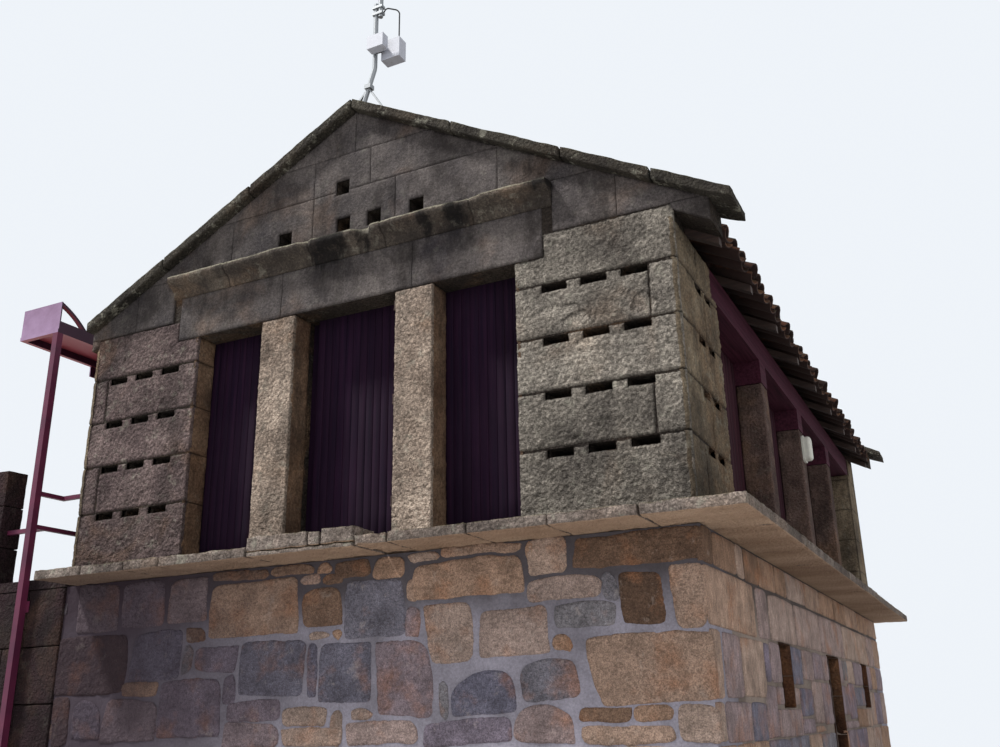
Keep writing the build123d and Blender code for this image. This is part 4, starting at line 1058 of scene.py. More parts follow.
# start and end along the wall, foot, head, how far in the reveal ends, and the sides that have it
both_windows = [(y, y + 0.388, 1.629, 2.079, 2.364, (1, -1)) for y in (1.883, 6.214)]
for start, end, foot, head, depth, sides_too in (*both_windows, (3.965, 4.605, 0.001, 2.079, 2.534, (1,))):
    for side in sides_too:
        x0, x1 = sorted((side * depth, side * (HALF + STANDS - 0.002)))
        cuts = np.linspace(foot, head, max(2, round((head - foot) / 0.35)) + 1)
        upright_rows = [(x0, x1, a, b, 0.3 + 0.4 * (k % 2)) for k, (a, b) in enumerate(pairwise(cuts))]
        lay(openings, plane("front", end - STEP_IN), upright_rows, seed=701, **cut_stone)
        lay(openings, plane("back", start + STEP_IN), turned(upright_rows), seed=702, **cut_stone)
        lay(openings, plane("down", head - STEP_IN), [(start, end, x0, x1, 0.5)], seed=703, **cut_stone)
        if foot > 1:
            lay(openings, plane("up", foot + STEP_IN), [(x0, x1, start, end, 0.6)], seed=704, **cut_stone)
openings.make("opening_reveal_stones", opening_granite)

# %% [markdown]
# ## Blocks seen from several sides
# Ledge slabs, coping stones and landing blocks show top, front and underside, so they are whole
# blocks: a box with grid lines on all six sides whose points are drawn to a rounded box and then
# roughened along their own outward direction.

# %% Whole blocks
def rough_block(work, low, high, tone, *, seed, rough, hump, step=0.05, arris=0.012, warp=None):
    """A rounded, uneven block between two corners."""
    low, high = np.array(low, float), np.array(high, float)
    lines = [grid_lines(low[k], high[k], step, arris) for k in range(3)]
    points, quads, total = [], [], 0
    for axis in range(3):
        p, q = [k for k in range(3) if k != axis]
        gp, gq = np.meshgrid(lines[p], lines[q], indexing="ij")
        quad = grid_quads(gp.shape).reshape(-1, 4)
        for side, at in ((0, low[axis]), (1, high[axis])):
            face = np.empty((gp.size, 3))
            face[:, axis], face[:, p], face[:, q] = at, gp.ravel(), gq.ravel()
            outward = (axis != 1) == bool(side)
            points.append(face)
            quads.append((quad if outward else quad[:, ::-1]) + total)
            total += gp.size
    points, quads = np.concatenate(points), np.concatenate(quads)
    _, first, inverse = np.unique(np.round(points, 6), axis=0, return_index=True, return_inverse=True)
    points, quads = points[first], inverse.ravel()[quads]
    arris = np.minimum(arris, (high - low) / 3)
    core = np.clip(points, low + arris, high - arris)
    away = points - core
    length = np.linalg.norm(away, axis=1, keepdims=True)
    away = away / np.maximum(length, 1e-9)
    deep = np.clip(0.5 + 0.6 * rugged(points, hump, seed), 0, 1)
    points = core + away * (np.minimum(length, arris.max()) - rough * deep[:, None])
    if warp:
        points = warp(points)
    # the lower points carry painted shade
    work.add(points, quads, tone, 0.6 * deep)


print("block kit ready")

# %% [markdown]
# ## The ledge
# Slabs of an even thickness run out from under the chamber. Their undersides are smooth, painted
# pale orange as the light reflected up onto them; their edges are rough and mossy, and one broken
# slab of the front has been laid higher than its neighbours.

# %% Ledge slabs
LEDGE_LOW, LEDGE_FRONT, LEDGE_BACK, LEDGE_SIDE, LEDGE_INNER = 2.660, -0.425, 8.25, 3.006, 2.30
UNDER_RAISED, BROKEN_SLAB = -0.457, 0.429
GAP = 0.002
ledge = Masonry()
rng = np.random.default_rng(71)
front_cuts = (-2.540, -2.05, -1.60, -1.262, UNDER_RAISED, BROKEN_SLAB, 0.685, 1.259, 1.805, 2.376, LEDGE_SIDE)
for n, (a, b) in enumerate(pairwise(front_cuts)):
    y = LEDGE_FRONT + rng.uniform(0.0, 0.010)
    top = 2.700 if a == UNDER_RAISED else LEDGE_TOP
    rough = 0.020 if a == BROKEN_SLAB else 0.010
    rough_block(ledge, (a + GAP, y, LEDGE_LOW), (b - GAP, 0.30, top), rng.uniform(0.3, 0.7), step=0.022,
                rough=rough, hump=0.07, seed=710 + n)
for side, start, edges in ((-1, 1.20, 8), (1, 0.30, 9)):
    cuts = np.linspace(start, LEDGE_BACK, edges)
    cuts[1:-1] += rng.uniform(-0.12, 0.12, len(cuts) - 2)
    for n, (a, b) in enumerate(pairwise(cuts)):
        x0, x1 = sorted((side * LEDGE_INNER, side * (LEDGE_SIDE - rng.uniform(0, 0.008))))
        rough_block(ledge, (x0, a + GAP, LEDGE_LOW), (x1, b - GAP, LEDGE_TOP), rng.uniform(0.3, 0.7),
                    step=0.035, rough=0.008, hump=0.08, seed=740 + 20 * side + n)
back_cuts = np.linspace(-LEDGE_INNER, LEDGE_INNER, 6)
for n, (a, b) in enumerate(pairwise(back_cuts)):
    rough_block(ledge, (a + GAP, 7.652, LEDGE_LOW), (b - GAP, LEDGE_BACK - rng.uniform(0, 0.01), LEDGE_TOP),
                rng.uniform(0.3, 0.7), rough=0.008, hump=0.08, seed=790 + n)
ledge_piece = ledge.make("ledge_slabs", ledge_granite)
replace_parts(ledge_piece, "ledge_front", "ledge_right", "ledge_left", "ledge_back")

raised = Masonry()
for n, (a, b, z) in enumerate(((UNDER_RAISED, 0.060, 2.806), (0.064, 0.166, 2.796), (0.170, 0.430, 2.808))):
    rough_block(raised, (a, LEDGE_FRONT, 2.694), (b, -0.025 - 0.06 * n, z), 0.35 + 0.15 * n,
                step=0.018, rough=0.014, hump=0.08, arris=0.014, seed=801 + n)
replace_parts(raised.make("raised_ledge_stones", ledge_granite), "raised_slab")

# %% [markdown]
# ## The chamber's dressed stone
# Five courses go up each pier. The lower four have three notches each in their top edges, which
# the course above closes into ventilation slots. The stones stand 18 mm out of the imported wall,
# so that their joints have a real depth.

# %% Dressed stone: sizes of the chamber
# tops of the four slotted courses, the top of the piers, and the underside of the lintel
tops = (3.239, 3.635, 4.022, 4.409)
WALL_TOP, LINTEL_FOOT = 4.797, 4.621
pier_edges = (LEDGE_TOP, *tops, WALL_TOP)
# half the chamber's width, its back, and where the returns of the front and of the back end
HALF_WIDE, BACK_FACE, RETURN_END, BACK_RETURN = 2.600, 7.952, 1.022, 7.432
# how far the row of doors reaches from the middle, and both sides of a door pillar
DOORWAY_HALF, PILLAR_IN, PILLAR_OUT = 1.467, 0.481, 0.768
# the wall plate's underside and inner face, and half the lintel's length with its joints
PLATE_FOOT, PLATE_INNER, LINTEL_REACH = 4.466, 2.372, 1.672
# how far the stones stand out, and the places across where their edges meet another face
OUT = 0.018
corner = HALF_WIDE + OUT
inner = DOORWAY_HALF - OUT
keen = (-corner, corner, -OUT, OUT, -1.449, 1.449, -0.786, 0.786, -0.463, 0.463)


def slots_at(places, half):
    """Holes for slots of one half width at the top of each slotted course."""
    return [(at - half, at + half, z - 0.058, z + 0.004) for at in places for z in tops]


holes_right = slots_at((1.742, 2.031, 2.320), 0.0925)
holes_left = turned(holes_right)
print(len(holes_right), "slots in a pier")

# %% [markdown]
# Each pier is a stack of five courses, pecked all over. Two of them have a short block at the
# corner beside the long one. The right pier is paler and has a few flaked spots, with shadow painted
# along their upper edges; the left one has a darker granite of its own, which is painted shade.

# %% Dressed stone: piers
right_joints = {1: 2.400, 3: 2.415}
left_joints = {1: 2.430, 3: 2.440}
pier_tones = {1: (0.42, 0.36, 0.80, 0.60, 0.40), -1: (0.30, 0.55, 0.66, 0.44, 0.26)}


def pier_blocks(side, joints):
    """The five courses of one pier, with a header stone at the corner in two of them."""
    blocks = []
    for n, (z0, z1) in enumerate(pairwise(pier_edges)):
        cuts = [inner] + ([joints[n]] if n in joints else []) + [corner]
        for k, (a, b) in enumerate(pairwise(cuts)):
            u0, u1 = sorted((side * a, side * b))
            blocks.append((u0, u1, z0, z1, pier_tones[side][n] + 0.12 * k))
    return blocks


pecked = dict(step=0.0105, joint=0.007, rough=0.014, hump=0.055, peck=0.7, chip=0.005, arris=0.012,
              wear=0.014, skirt=0.026, keen=keen)
# where the lintel sits on the right pier, and where that pier's face has flaked off
lintel_seat = [(1.4, LINTEL_REACH, 4.619, 4.9)]
flaked_spots = (
    (1.76, 4.20, 0.14, 0.045, 0.012), (1.90, 4.10, 0.10, 0.06, 0.010), (2.37, 4.12, 0.075, 0.10, 0.013),
    (2.06, 3.94, 0.16, 0.035, 0.010), (1.72, 3.16, 0.06, 0.05, 0.010), (2.20, 3.60, 0.12, 0.03, 0.010),
)
chamber = Masonry()
lay(chamber, plane("front", -OUT), pier_blocks(1, right_joints), holes_right + lintel_seat,
    dents=flaked_spots, seed=101, **pecked)
chamber.make("pier_stones", chamber_granite)
left_chamber = Masonry()
lay(left_chamber, plane("front", -OUT), pier_blocks(-1, left_joints), holes_left + turned(lintel_seat),
    seed=102, **pecked)
left_chamber.make("left_pier_stones", left_shade_granite)

# %% [markdown]
# The door pillars are single stones; both of their faces beside the doors are dressed too. The
# lintel is of three stones over them.

# %% Dressed stone: door pillars, reveals and lintel
smooth = dict(step=0.022, joint=0.003, rough=0.008, hump=0.07, peck=0.35, arris=0.006, wear=0.010,
              skirt=0.020, keen=keen)
pillar_sides = {side: sorted((side * (PILLAR_IN - OUT), side * (PILLAR_OUT + OUT))) for side in (-1, 1)}
pillars = Masonry()
for side, (a, b) in pillar_sides.items():
    lay(pillars, plane("front", -OUT), [(a, b, LEDGE_TOP, LINTEL_FOOT, 1.0)], seed=110 + side,
        **(pecked | dict(rough=0.009, chip=0.002)))
pillars.make("door_pillar_stones", door_pillar_granite)
reveals = Masonry()
REVEAL_FRONT, REVEAL_BACK = -OUT + 0.012, 0.205
whole_reveal = [(REVEAL_FRONT, REVEAL_BACK, LEDGE_TOP, LINTEL_FOOT, 0.5)]
for side, (a, b) in pillar_sides.items():
    lay(reveals, plane("right", b), whole_reveal, seed=112 + side, **smooth)
    lay(reveals, plane("left", a), turned(whole_reveal), seed=114 + side, **smooth)
reveal = [(REVEAL_FRONT, REVEAL_BACK, z0, z1, 0.42 + 0.05 * (n % 3))
          for n, (z0, z1) in enumerate(pairwise((LEDGE_TOP, *tops, LINTEL_FOOT)))]
lay(reveals, plane("right", -inner), reveal, seed=118, **smooth)
lay(reveals, plane("left", inner), turned(reveal), seed=119, **smooth)
reveals.make("door_reveal_stones", reveal_granite)
fine = smooth | dict(step=0.018, joint=0.001, rough=0.006, peck=0.3, wear=0.007)
lintel_blocks = metres([
    (-1670, -606, 4621, 5000, 0.35), (-606, 608, 4621, 5000, 0.50), (608, 1670, 4621, 5000, 0.62),
])
lintel = Masonry()
lay(lintel, plane("front", -OUT), lintel_blocks, seed=121, **fine)
lintel.make("lintel_stones", lintel_granite)

# %% [markdown]
# The gable's stones are cut to the slope. Here they are laid as full courses, and the points that
# reach over the slope's line are pressed down onto it. The ridge stands a little right of the
# middle, and the lowest stones reach out past the wall as kneelers for the coping.

# %% Dressed stone: the gable
RIDGE_X, APEX, EAVE_TOP = 0.060, 6.391, 5.006


def coping_top(x):
    """The coping's top line over the gable."""
    reach = np.where(x >= RIDGE_X, HALF_WIDE - RIDGE_X, HALF_WIDE + RIDGE_X)
    return APEX - (APEX - EAVE_TOP) * np.abs(x - RIDGE_X) / reach


def gable_top(x):
    """The top line of the gable's stones, under the coping."""
    return coping_top(x) - 0.090


def kneeler_foot(x):
    """The underside of the kneelers outside the wall, and nothing inside it."""
    right = np.interp(x, (HALF_WIDE, 2.608, 2.858), (WALL_TOP, 4.751, 4.614))
    left = np.interp(-x, (HALF_WIDE, 2.608, 2.690), (WALL_TOP, 4.751, 4.708))
    return np.where(x > HALF_WIDE, right, np.where(x < -HALF_WIDE, left, 0.0))


# five square vents: four in a row and one above
vents = [(x - 0.0635, x + 0.0635, 5.2315, 5.3585) for x in (-0.605, -0.034, 0.253, 0.638)]
vents.append((-0.1155, 0.0115, 5.5705, 5.6975))
front_gable_stones = metres([
    (-2690, -2180, 4797, 5195, 0.26), (-2180, -1752, 4797, 5195, 0.36), (1752, 2230, 4797, 5195, 0.50),
    (2230, 2858, 4797, 5195, 0.66), (-2690, -2600, 4690, 4797, 0.26), (2600, 2858, 4600, 4797, 0.66),
    (-2300, -1158, 5195, 5600, 0.34), (-1158, -330, 5195, 5600, 0.44), (-330, 450, 5195, 5600, 0.36),
    (450, 1330, 5195, 5600, 0.70), (1330, 2300, 5195, 5600, 0.56),
    (-1500, -330, 5600, 5930, 0.48), (-330, 212, 5600, 5930, 0.34), (212, 1400, 5600, 5930, 0.46),
    (-900, 60, 5930, 6330, 0.50), (60, 900, 5930, 6330, 0.42),
])
# the cornice, the lintel and the left pier stand where gable stones would be
cornice_space = [
    (-1.750, 1.750, 4.9, 5.195), (-LINTEL_REACH, LINTEL_REACH, 4.5, 5.0), (-2.6, -1.4, 4.4, WALL_TOP),
]
gable = Masonry()
lay(gable, plane("front", -OUT), front_gable_stones, vents + cornice_space, top=gable_top, foot=kneeler_foot,
    seed=131, **fine)
gable.make("front_gable_stones", lintel_granite)

# %% [markdown]
# ## Side returns, back wall and back gable
# Behind each pier the corner goes on as a short side wall with the same courses and two slots in
# each of the lower four. At the back the corners have no slots. Every return shows its end too,
# where it meets the boarded bays. The stones face four ways, so they are listed once and laid in a
# loop, and the left side is the right one turned round.

# %% Dressed stone: sides and back
sides = Masonry()
# where the one upright joint of each course is, and the notch that takes the wall plate's end
side_joints = (0.33, 0.60, 0.42, 0.62, 0.50)
side_holes = [*slots_at((0.510, 0.750), 0.090), (0.895, 1.1, PLATE_FOOT, 4.9)]
far_holes = [(7.3, 7.560, PLATE_FOOT, 4.9)]
end_holes = [(2.3, 2.7, PLATE_FOOT, 4.9)]
for n, (z0, z1) in enumerate(pairwise((*pier_edges[:-1], 4.701))):
    cuts = (-OUT, side_joints[n], RETURN_END)
    near = [(a, b, z0, z1, pier_tones[1][n] - 0.1 * k) for k, (a, b) in enumerate(pairwise(cuts))]
    far = [(BACK_RETURN, BACK_FACE + OUT, z0, z1, 0.45 + 0.06 * (n % 3))]
    ends = [(PLATE_INNER, HALF_WIDE, z0, z1, 0.5)]
    for seed, way, at, stones, holes, look in (
        (141, "right", corner, near, side_holes, pecked | dict(step=0.018)),
        (151, "left", -corner, turned(near), turned(side_holes), pecked | dict(step=0.024)),
        (161, "right", corner, far, far_holes, smooth),
        (171, "left", -corner, turned(far), turned(far_holes), smooth),
        (181, "back", RETURN_END + OUT, turned(ends), turned(end_holes), smooth),
        (191, "front", BACK_RETURN - OUT, ends, end_holes, smooth),
        (201, "back", RETURN_END + OUT, ends, end_holes, smooth),
        (211, "front", BACK_RETURN - OUT, turned(ends), turned(end_holes), smooth),
    ):
        lay(sides, plane(way, at), stones, holes, seed=seed + n, **look)
sides.make("side_return_stones", return_granite)

# %% [markdown]
# The back is plain and closed. It can't be seen in the picture: its courses and slots repeat the
# front's, and its gable is the front's turned round, with a full course where the cornice was.

# %% Dressed stone: the back
back = Masonry()
rng = np.random.default_rng(221)
for n, (z0, z1) in enumerate(pairwise(pier_edges)):
    odd = n % 2
    cuts = (-corner, -1.95 + 0.3 * odd, -1.2, -0.45 + 0.2 * odd, 0.35, 1.1 + 0.2 * odd, 1.9, corner)
    row = [(a, b, z0, z1, rng.uniform(0.3, 0.7)) for a, b in pairwise(cuts)]
    lay(back, plane("back", BACK_FACE + OUT), row, holes_right + holes_left, seed=231 + n, **smooth)
mirror_stones = turned([stone for stone in front_gable_stones if stone[2] > 4.9])
cuts = (-2858, -2230, -1500, -700, 100, 900, 1700, 2300, 2690)
tones = (0.5, 0.4, 0.46, 0.38, 0.5, 0.44, 0.36, 0.5)
mirror_stones += metres([(a, b, 4797, 5195, tone) for (a, b), tone in zip(pairwise(cuts), tones)])
lay(back, plane("back", BACK_FACE + OUT), mirror_stones, turned(vents), top=lambda u: gable_top(-u),
    foot=lambda u: kneeler_foot(-u), seed=241, **smooth)
back.make("back_stones", chamber_granite)
# the walls behind the stones take the dark joint granite, painted shade in the joints
finish_nodes(joint_granite, "front_pier_left", "front_pier_right", "front_return_left", "front_return_right",
             "back_return_left", "back_return_right", "door_pillar_left", "door_pillar_right", "front_lintel",
             "front_gable", "back_gable", "back_wall")

# %% [markdown]
# ## Granite posts of the side walls
# Three squared posts stand in each long side, between the boarded bays. They are single stones,
# so each is one whole block, worn round its arrises. The bays are boarded further down, between
# the same places.

# %% Side posts
posts = Masonry()
POST_DEEP, ON_LEDGE = 0.230, LEDGE_TOP + 0.0005
posts_at = (2.452, 4.112, 5.772)
for side in (-1, 1):
    for n, y in enumerate(posts_at):
        x0, x1 = sorted((side * 2.373, side * HALF_WIDE))
        rough_block(posts, (x0, y, ON_LEDGE), (x1, y + POST_DEEP, 4.265), 0.5 + 0.12 * (n % 2), step=0.035,
                    rough=0.006, hump=0.09, arris=0.014, seed=820 + 5 * side + n)
posts_piece = posts.make("side_post_stones", pillar_granite)
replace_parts(posts_piece, "side_pillars_left", "side_pillars_right")

# %% [markdown]
# ## Cornice
# A moulded course over the doors: a hollow, a quarter round and a square edge. Its profile is
# drawn once and repeated along X in small steps, and each step is worn a little differently.
# Near the left of the middle door a stretch has broken away.

# %% Cornice
profile = np.array([
    (0.0, 5.000), (-0.020, 5.004), (-0.026, 5.022), (-0.034, 5.050), (-0.050, 5.074), (-0.076, 5.090),
    (-0.100, 5.100), (-0.106, 5.114), (-0.122, 5.120), (-0.129, 5.140), (-0.130, 5.168), (-0.120, 5.178),
    (-0.060, 5.186), (0.0, 5.194),
])
cornice = Masonry()
xs = np.arange(-1.750, 1.7501, 0.014)
spine = np.stack(np.meshgrid(xs, np.arange(len(profile)), indexing="ij"), -1).reshape(-1, 2)
shape = profile[spine[:, 1].astype(int)]
body_points = np.stack([spine[:, 0], shape[:, 0], shape[:, 1]], -1)
wear = 0.004 + 0.007 * rugged(body_points, 0.10, 251)
broken = sum(deep * np.exp(-((spine[:, 0] - at) / half) ** 4)
             for at, half, deep in ((0.20, 0.07, 0.060), (-0.33, 0.05, 0.022), (1.12, 0.10, 0.022)))
edge = np.clip(-shape[:, 0] / 0.13, 0, 1)
body_points[:, 1] += edge * np.clip(wear + broken, 0, 0.08)
body_points[:, 2] += edge * 0.006 * rugged(body_points, 0.25, 253)
joints_at = np.abs(xs[:, None] - np.array((-1.15, -0.31, 0.38, 1.13))).min(axis=1) < 0.008
body_points[:, 1] += np.repeat(joints_at, len(profile)) * 0.010 * edge
rows = len(profile)
quads = grid_quads((len(xs), rows), flip=True).reshape(-1, 4)
patchy = np.clip(0.42 + 0.5 * rugged(body_points * (1, 1, 0.6), 0.30, 257), 0, 1)
pale_edge = np.isin(spine[:, 1], (10, 11)) * 1.2
in_joint = np.repeat(joints_at, rows) * 1.0
# painted shade in the joints and where the edge is worn or broken back
hollow = np.clip(in_joint + 8 * np.clip(wear, 0, 0.05), 0, 1)
cornice.add(body_points, quads[:, ::-1], np.clip(patchy + pale_edge, 0, 1.4), hollow)
# each end is closed by a strip of faces between the profile and the wall
k = np.arange(rows - 1)
end_quads = np.stack([k, k + 1, k + 1 + rows, k + rows], -1)
for at, facing_out in ((0, end_quads[:, ::-1]), (len(xs) - 1, end_quads)):
    strip = body_points.reshape(len(xs), rows, 3)[at]
    cornice.add(np.concatenate([strip, strip * (1, 0, 1)]), facing_out, 0.5)
cornice_piece = cornice.make("cornice_moulding", cornice_granite)
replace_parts(cornice_piece, "front_cornice")

# %% [markdown]
# ## Coping
# Long thin slabs lie up both slopes of each gable and thin out towards the right eave. Rain keeps
# their tops black and green. Each slab is a whole block in plain coordinates, and its points are
# then lifted onto the slope.

# %% Coping slabs
COPING_THICK = 0.096


def on_slope(points):
    """Lifts a block whose height is counted from the coping's top line; the right end is thinner."""
    lifted = points.copy()
    thinner = 0.024 * np.clip((points[:, 0] - 2.858) / 0.170, 0, 1)
    lifted[:, 2] += thinner * np.clip(-points[:, 2] / COPING_THICK, 0, 1)
    lifted[:, 2] += coping_top(points[:, 0])
    return lifted


for name, y0, y1 in (("front_coping", -0.110, 0.330), ("back_coping", 7.622, 8.062)):
    coping = Masonry()
    rng = np.random.default_rng(261)
    for side, cuts in ((1, (0.060, 0.98, 1.86, 2.50, 3.026)), (-1, (0.060, -0.95, -1.85, -2.698))):
        for n, (a, b) in enumerate(pairwise(cuts)):
            x0, x1 = sorted((a, b))
            lift = rng.uniform(-0.004, 0.0)
            low = (x0 + 0.001, y0 + rng.uniform(0, 0.008), lift - COPING_THICK)
            rough_block(coping, low, (x1 - 0.001, y1, lift), rng.uniform(0.3, 0.6), step=0.026, rough=0.010,
                        hump=0.09, arris=0.014, seed=262 + 10 * n + side, warp=on_slope)
    coping_piece = coping.make(f"{name}_slabs", coping_granite)
    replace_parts(coping_piece, name)

# %% [markdown]
# ## Boarded doors and walls
# A boarded leaf is a row of planed boards with a shadow line between. Each is a face like a
# stone's, but long, flat and fine-edged. The boards stand a few millimetres off the plain leaf.

# %% Boards
def board_rows(low, high, foot, head, width, seed):
    """Upright boards of nearly even width between two sides."""
    rng = np.random.default_rng(seed)
    count = max(1, round((high - low) / width))
    cuts = np.linspace(low, high, count + 1)
    return [(a, b, foot, head, rng.uniform(0.15, 0.85)) for a, b in pairwise(cuts)]


planed = dict(step=0.25, joint=0.002, rough=0.0012, hump=0.3, arris=0.002, wear=0.002, skirt=0.006)
BOARD_FOOT, BOARD_OUT = LEDGE_TOP + 0.002, 0.005
doors = Masonry()
for low, high in ((-DOORWAY_HALF, -PILLAR_OUT), (-0.386, PILLAR_IN), (PILLAR_OUT, DOORWAY_HALF)):
    rows_here = board_rows(low, high, BOARD_FOOT, 4.619, 0.068, 301)
    lay(doors, plane("front", 0.210 - BOARD_OUT), rows_here, seed=301, **planed)
doors.make("front_door_boards", door_paint)
finish_nodes(door_paint, "front_door_left", "front_door_middle", "front_door_right", "front_door_jamb")

side_boards = Masonry()
for low, high in zip((RETURN_END, *(y + POST_DEEP for y in posts_at)), (*posts_at, BACK_RETURN)):
    rows_here = board_rows(low, high, BOARD_FOOT, PLATE_FOOT, 0.11, 302)
    lay(side_boards, plane("right", PLATE_INNER + BOARD_OUT), rows_here, seed=302, **planed)
    lay(side_boards, plane("left", -PLATE_INNER - BOARD_OUT), turned(rows_here), seed=303, **planed)
side_boards.make("side_wall_boards", wall_paint)
finish_nodes(wall_paint, "timber_wall_left", "timber_wall_right")
finish_nodes(beam_paint, "wall_plate_left", "wall_plate_right")
finish_nodes(floor_wood, "chamber_floor", "floor_joists")
finish_nodes(rafter_wood, "rafters_left", "rafters_right", "ridge_beam")

# %% [markdown]
# ## The tiled roof
# Clay barrel tiles lie in two layers: channels with their hollow up, and covers over the gaps
# between them. One tapered half pipe is computed once; every tile is that shape, turned, shifted
# and shaken by a few millimetres, from the eave to the ridge.

# %% Roof tiles
def half_pipe(length, wide, narrow, rise, wall, up, parts=7):
    """A tapered tile along +X from its wide low end; up 1 for a cover, -1 for a channel."""
    angle = np.linspace(0, math.pi, parts + 1)
    rings = []
    for x, width in ((0.0, wide), (length, narrow)):
        for thick in (0.0, wall):
            y = -(width / 2 - thick) * np.cos(angle)
            z = up * (rise * width / wide - thick) * np.sin(angle)
            rings.append(np.stack([np.full(parts + 1, x), y, z], -1))

    def ring(r, j):
        """The number of point j on ring r: outside and inside at the low end, then at the high one."""
        return r * (parts + 1) + j

    k = np.arange(parts)
    quads = [
        np.stack([ring(0, k), ring(2, k), ring(2, k + 1), ring(0, k + 1)], -1),
        np.stack([ring(1, k + 1), ring(3, k + 1), ring(3, k), ring(1, k)], -1),
        np.stack([ring(1, k), ring(0, k), ring(0, k + 1), ring(1, k + 1)], -1),
        np.stack([ring(2, k), ring(3, k), ring(3, k + 1), ring(2, k + 1)], -1),
        np.array([[ring(0, 0), ring(1, 0), ring(3, 0), ring(2, 0)]]),
        np.array([[ring(1, parts), ring(0, parts), ring(2, parts), ring(3, parts)]]),
    ]
    quads = np.concatenate(quads)
    return np.concatenate(rings), quads if up > 0 else quads[:, ::-1]


ROOF_FRONT, ROOF_BACK, EAVE_X, UNDER_COPING = 0.302, 7.650, 2.83, 0.245
COURSES, COVERS, LAP = 9, 33, 0.10
PITCH = 7.35 / COVERS


def tile_slope(name, side, seed):
    """All the tiles of one slope, laid from the eave up."""
    work = Masonry()
    rng = np.random.default_rng(seed)
    run = EAVE_X - side * RIDGE_X
    fall = (APEX - EAVE_TOP) / (HALF_WIDE - side * RIDGE_X)
    slope = math.hypot(1, fall)
    down = np.array([side, 0, -fall]) / slope
    out = np.array([side * fall, 0, 1]) / slope
    eave = np.array([side * EAVE_X, 0, float(coping_top(np.array(side * EAVE_X))) - UNDER_COPING])
    exposed = (run * slope - 0.08) / COURSES
    # channels first, then covers: how wide below and above, how high, and how high they sit
    for up, wide, narrow, rise, seat in ((-1, 0.205, 0.165, 0.058, 0.060), (1, 0.190, 0.150, 0.070, 0.042)):
        points, quads = half_pipe(exposed + LAP, wide, narrow, rise, 0.013, up)
        if side > 0:
            quads = quads[:, ::-1]
        for column in range(COVERS if up > 0 else COVERS + 1):
            y = ROOF_FRONT + PITCH * (column + (0.5 if up > 0 else 0.0))
            y = min(max(y, ROOF_FRONT + wide / 2), ROOF_BACK - wide / 2)
            for row in range(COURSES):
                turn_by = rng.normal(0, 0.018)
                start = row * exposed + rng.normal(0, 0.012) + (rng.uniform(-0.03, 0.02) if row == 0 else 0)
                sit = seat + (1 - points[:, 0] / (exposed + LAP)) * 0.014 + rng.normal(0, 0.002)
                height = points[:, 2] + sit - 0.004
                placed = eave + np.outer(-(start + points[:, 0]), down) + np.outer(height, out)
                placed[:, 1] += y + (points[:, 1] + points[:, 0] * turn_by) + rng.normal(0, 0.004)
                work.add(placed, quads, rng.uniform(0, 1))
    return work.make(name, clay)


right_tiles = tile_slope("roof_tile_field_right", 1, 401)
left_tiles = tile_slope("roof_tile_field_left", -1, 402)
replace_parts(right_tiles, "roof_tiles_right")
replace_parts(left_tiles, "roof_tiles_left")

# %% [markdown]
# The ridge tiles sit in a strip of mortar that fills the hollows between the tops of both slopes.

# %% Ridge bedding
bedding = Masonry()
section = np.array([
    (-0.112, 6.05), (-0.104, 6.222), (-0.05, 6.262), (0.0, 6.275),
    (0.05, 6.262), (0.104, 6.222), (0.112, 6.05),
])
RIDGE_FRONT, RIDGE_BACK = 0.332, 7.6201
along = np.arange(RIDGE_FRONT, RIDGE_BACK, 0.040)
across_at, along_at = np.meshgrid(np.arange(len(section)), along, indexing="ij")
sideways, high = section[across_at.ravel()].T
bed_points = np.stack([RIDGE_X + sideways, along_at.ravel(), high], -1)
bed_points[:, 0] += 0.007 * rugged(bed_points, 0.09, 411) * np.sign(bed_points[:, 0] - RIDGE_X)
bedding.add(bed_points, grid_quads(across_at.shape, flip=True).reshape(-1, 4), 0.5)
bedding.make("ridge_bedding", roof_mortar)

# %% [markdown]
# The ridge itself is a row of larger half pipes. Each lies with its narrow end under the next one,
# so it dips a little towards the back.

# %% Ridge tiles
ridge = Masonry()
rng = np.random.default_rng(403)
RIDGE_TILE = 0.44
points, quads = half_pipe(RIDGE_TILE, 0.238, 0.205, 0.118, 0.014, 1, 10)
for n in range(19):
    x = RIDGE_X + (points[:, 1] + points[:, 0] * rng.normal(0, 0.01))
    y = np.minimum(0.331 + n * 0.3805 + points[:, 0], 7.621)
    z = 6.226 + points[:, 2] - 0.012 * points[:, 0] / RIDGE_TILE
    ridge.add(np.stack([x, y, z], -1), quads[:, ::-1], rng.uniform(0, 1))
ridge_piece = ridge.make("ridge_tiles", clay)
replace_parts(ridge_piece, "roof_ridge")

# %% [markdown]
# ## Ground door, windows, landing, porch, lamp and mast
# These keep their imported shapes, which are right, and get their finishes. The door gets boards
# on its outer face, which move with the leaf.

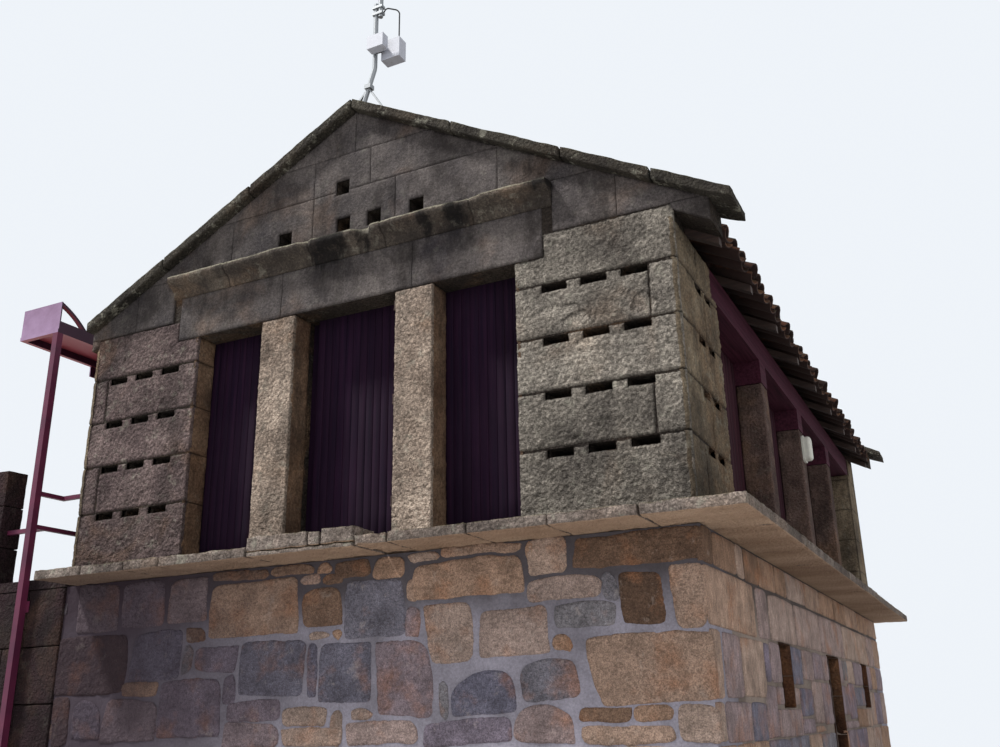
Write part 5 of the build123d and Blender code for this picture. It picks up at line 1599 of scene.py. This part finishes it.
# %% The rest of the finishes
leaf_boards = Masonry()
leaf_rows = board_rows(3.975, 4.593, 0.014, 2.069, 0.124, 501)
lay(leaf_boards, plane("right", 2.530 + BOARD_OUT), leaf_rows, seed=501, **planed)
leaf_boards.make("ground_door_boards", wall_paint, body=LEAF)
finish_nodes(wall_paint, "ground_door", "base_window_shutters")
finish_nodes(iron, "ground_door_pintles", "front_pintles")
finish_nodes(landing_granite, "landing_slab")
finish_nodes(porch_paint, "porch_posts", "porch_rails")
finish_nodes(canopy_paint, "porch_canopy")
finish_nodes(zinc, "mast")
finish_nodes(enamel, "mast_boxes")
finish_nodes(sheath, "mast_lead")
finish_nodes(lamp_plastic, "side_lamp")
print("packed shapes finished")

# %% [markdown]
# ## Landing at the left end
# The landing is a block of dark squared stone beside the ground room, with a short pier on its
# front left corner. Its outside is the very edge of the model, so its stones can't stand proud of
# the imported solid: whole blocks take the solid's place, and their worn arrises make the joints.

# %% Landing stones
LANDING_LEFT, LANDING_FRONT = -3.805, -0.040
landing = Masonry()
rng = np.random.default_rng(601)
landing_edges = (0.001, 0.45, 0.90, 1.32, 1.76, 2.20, 2.6595)
for n, (z0, z1) in enumerate(pairwise(landing_edges)):
    middle_x, middle_y = -3.28 + 0.24 * (n % 2), 0.70 - 0.22 * (n % 2)
    for x0, x1 in ((LANDING_LEFT, middle_x), (middle_x, -2.623)):
        for y0, y1 in ((LANDING_FRONT, middle_y), (middle_y, 1.200)):
            tone = rng.uniform(0.25, 0.75)
            rough_block(landing, (x0, y0, z0), (x1, y1, z1), tone, rough=0.008, hump=0.10,
                        seed=int(rng.integers(900, 990)))
landing_piece = landing.make("landing_stones", landing_granite)
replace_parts(landing_piece, "landing_wall")
pier = Masonry()
for n, (z0, z1) in enumerate(pairwise((ON_LEDGE, 3.06, 3.42, 3.740))):
    rough_block(pier, (LANDING_LEFT, LANDING_FRONT, z0), (-3.511, 0.168, z1), 0.4 + 0.15 * n, step=0.025,
                rough=0.008, hump=0.10, seed=640 + n)
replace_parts(pier.make("landing_pier_stones", landing_granite), "landing_pier")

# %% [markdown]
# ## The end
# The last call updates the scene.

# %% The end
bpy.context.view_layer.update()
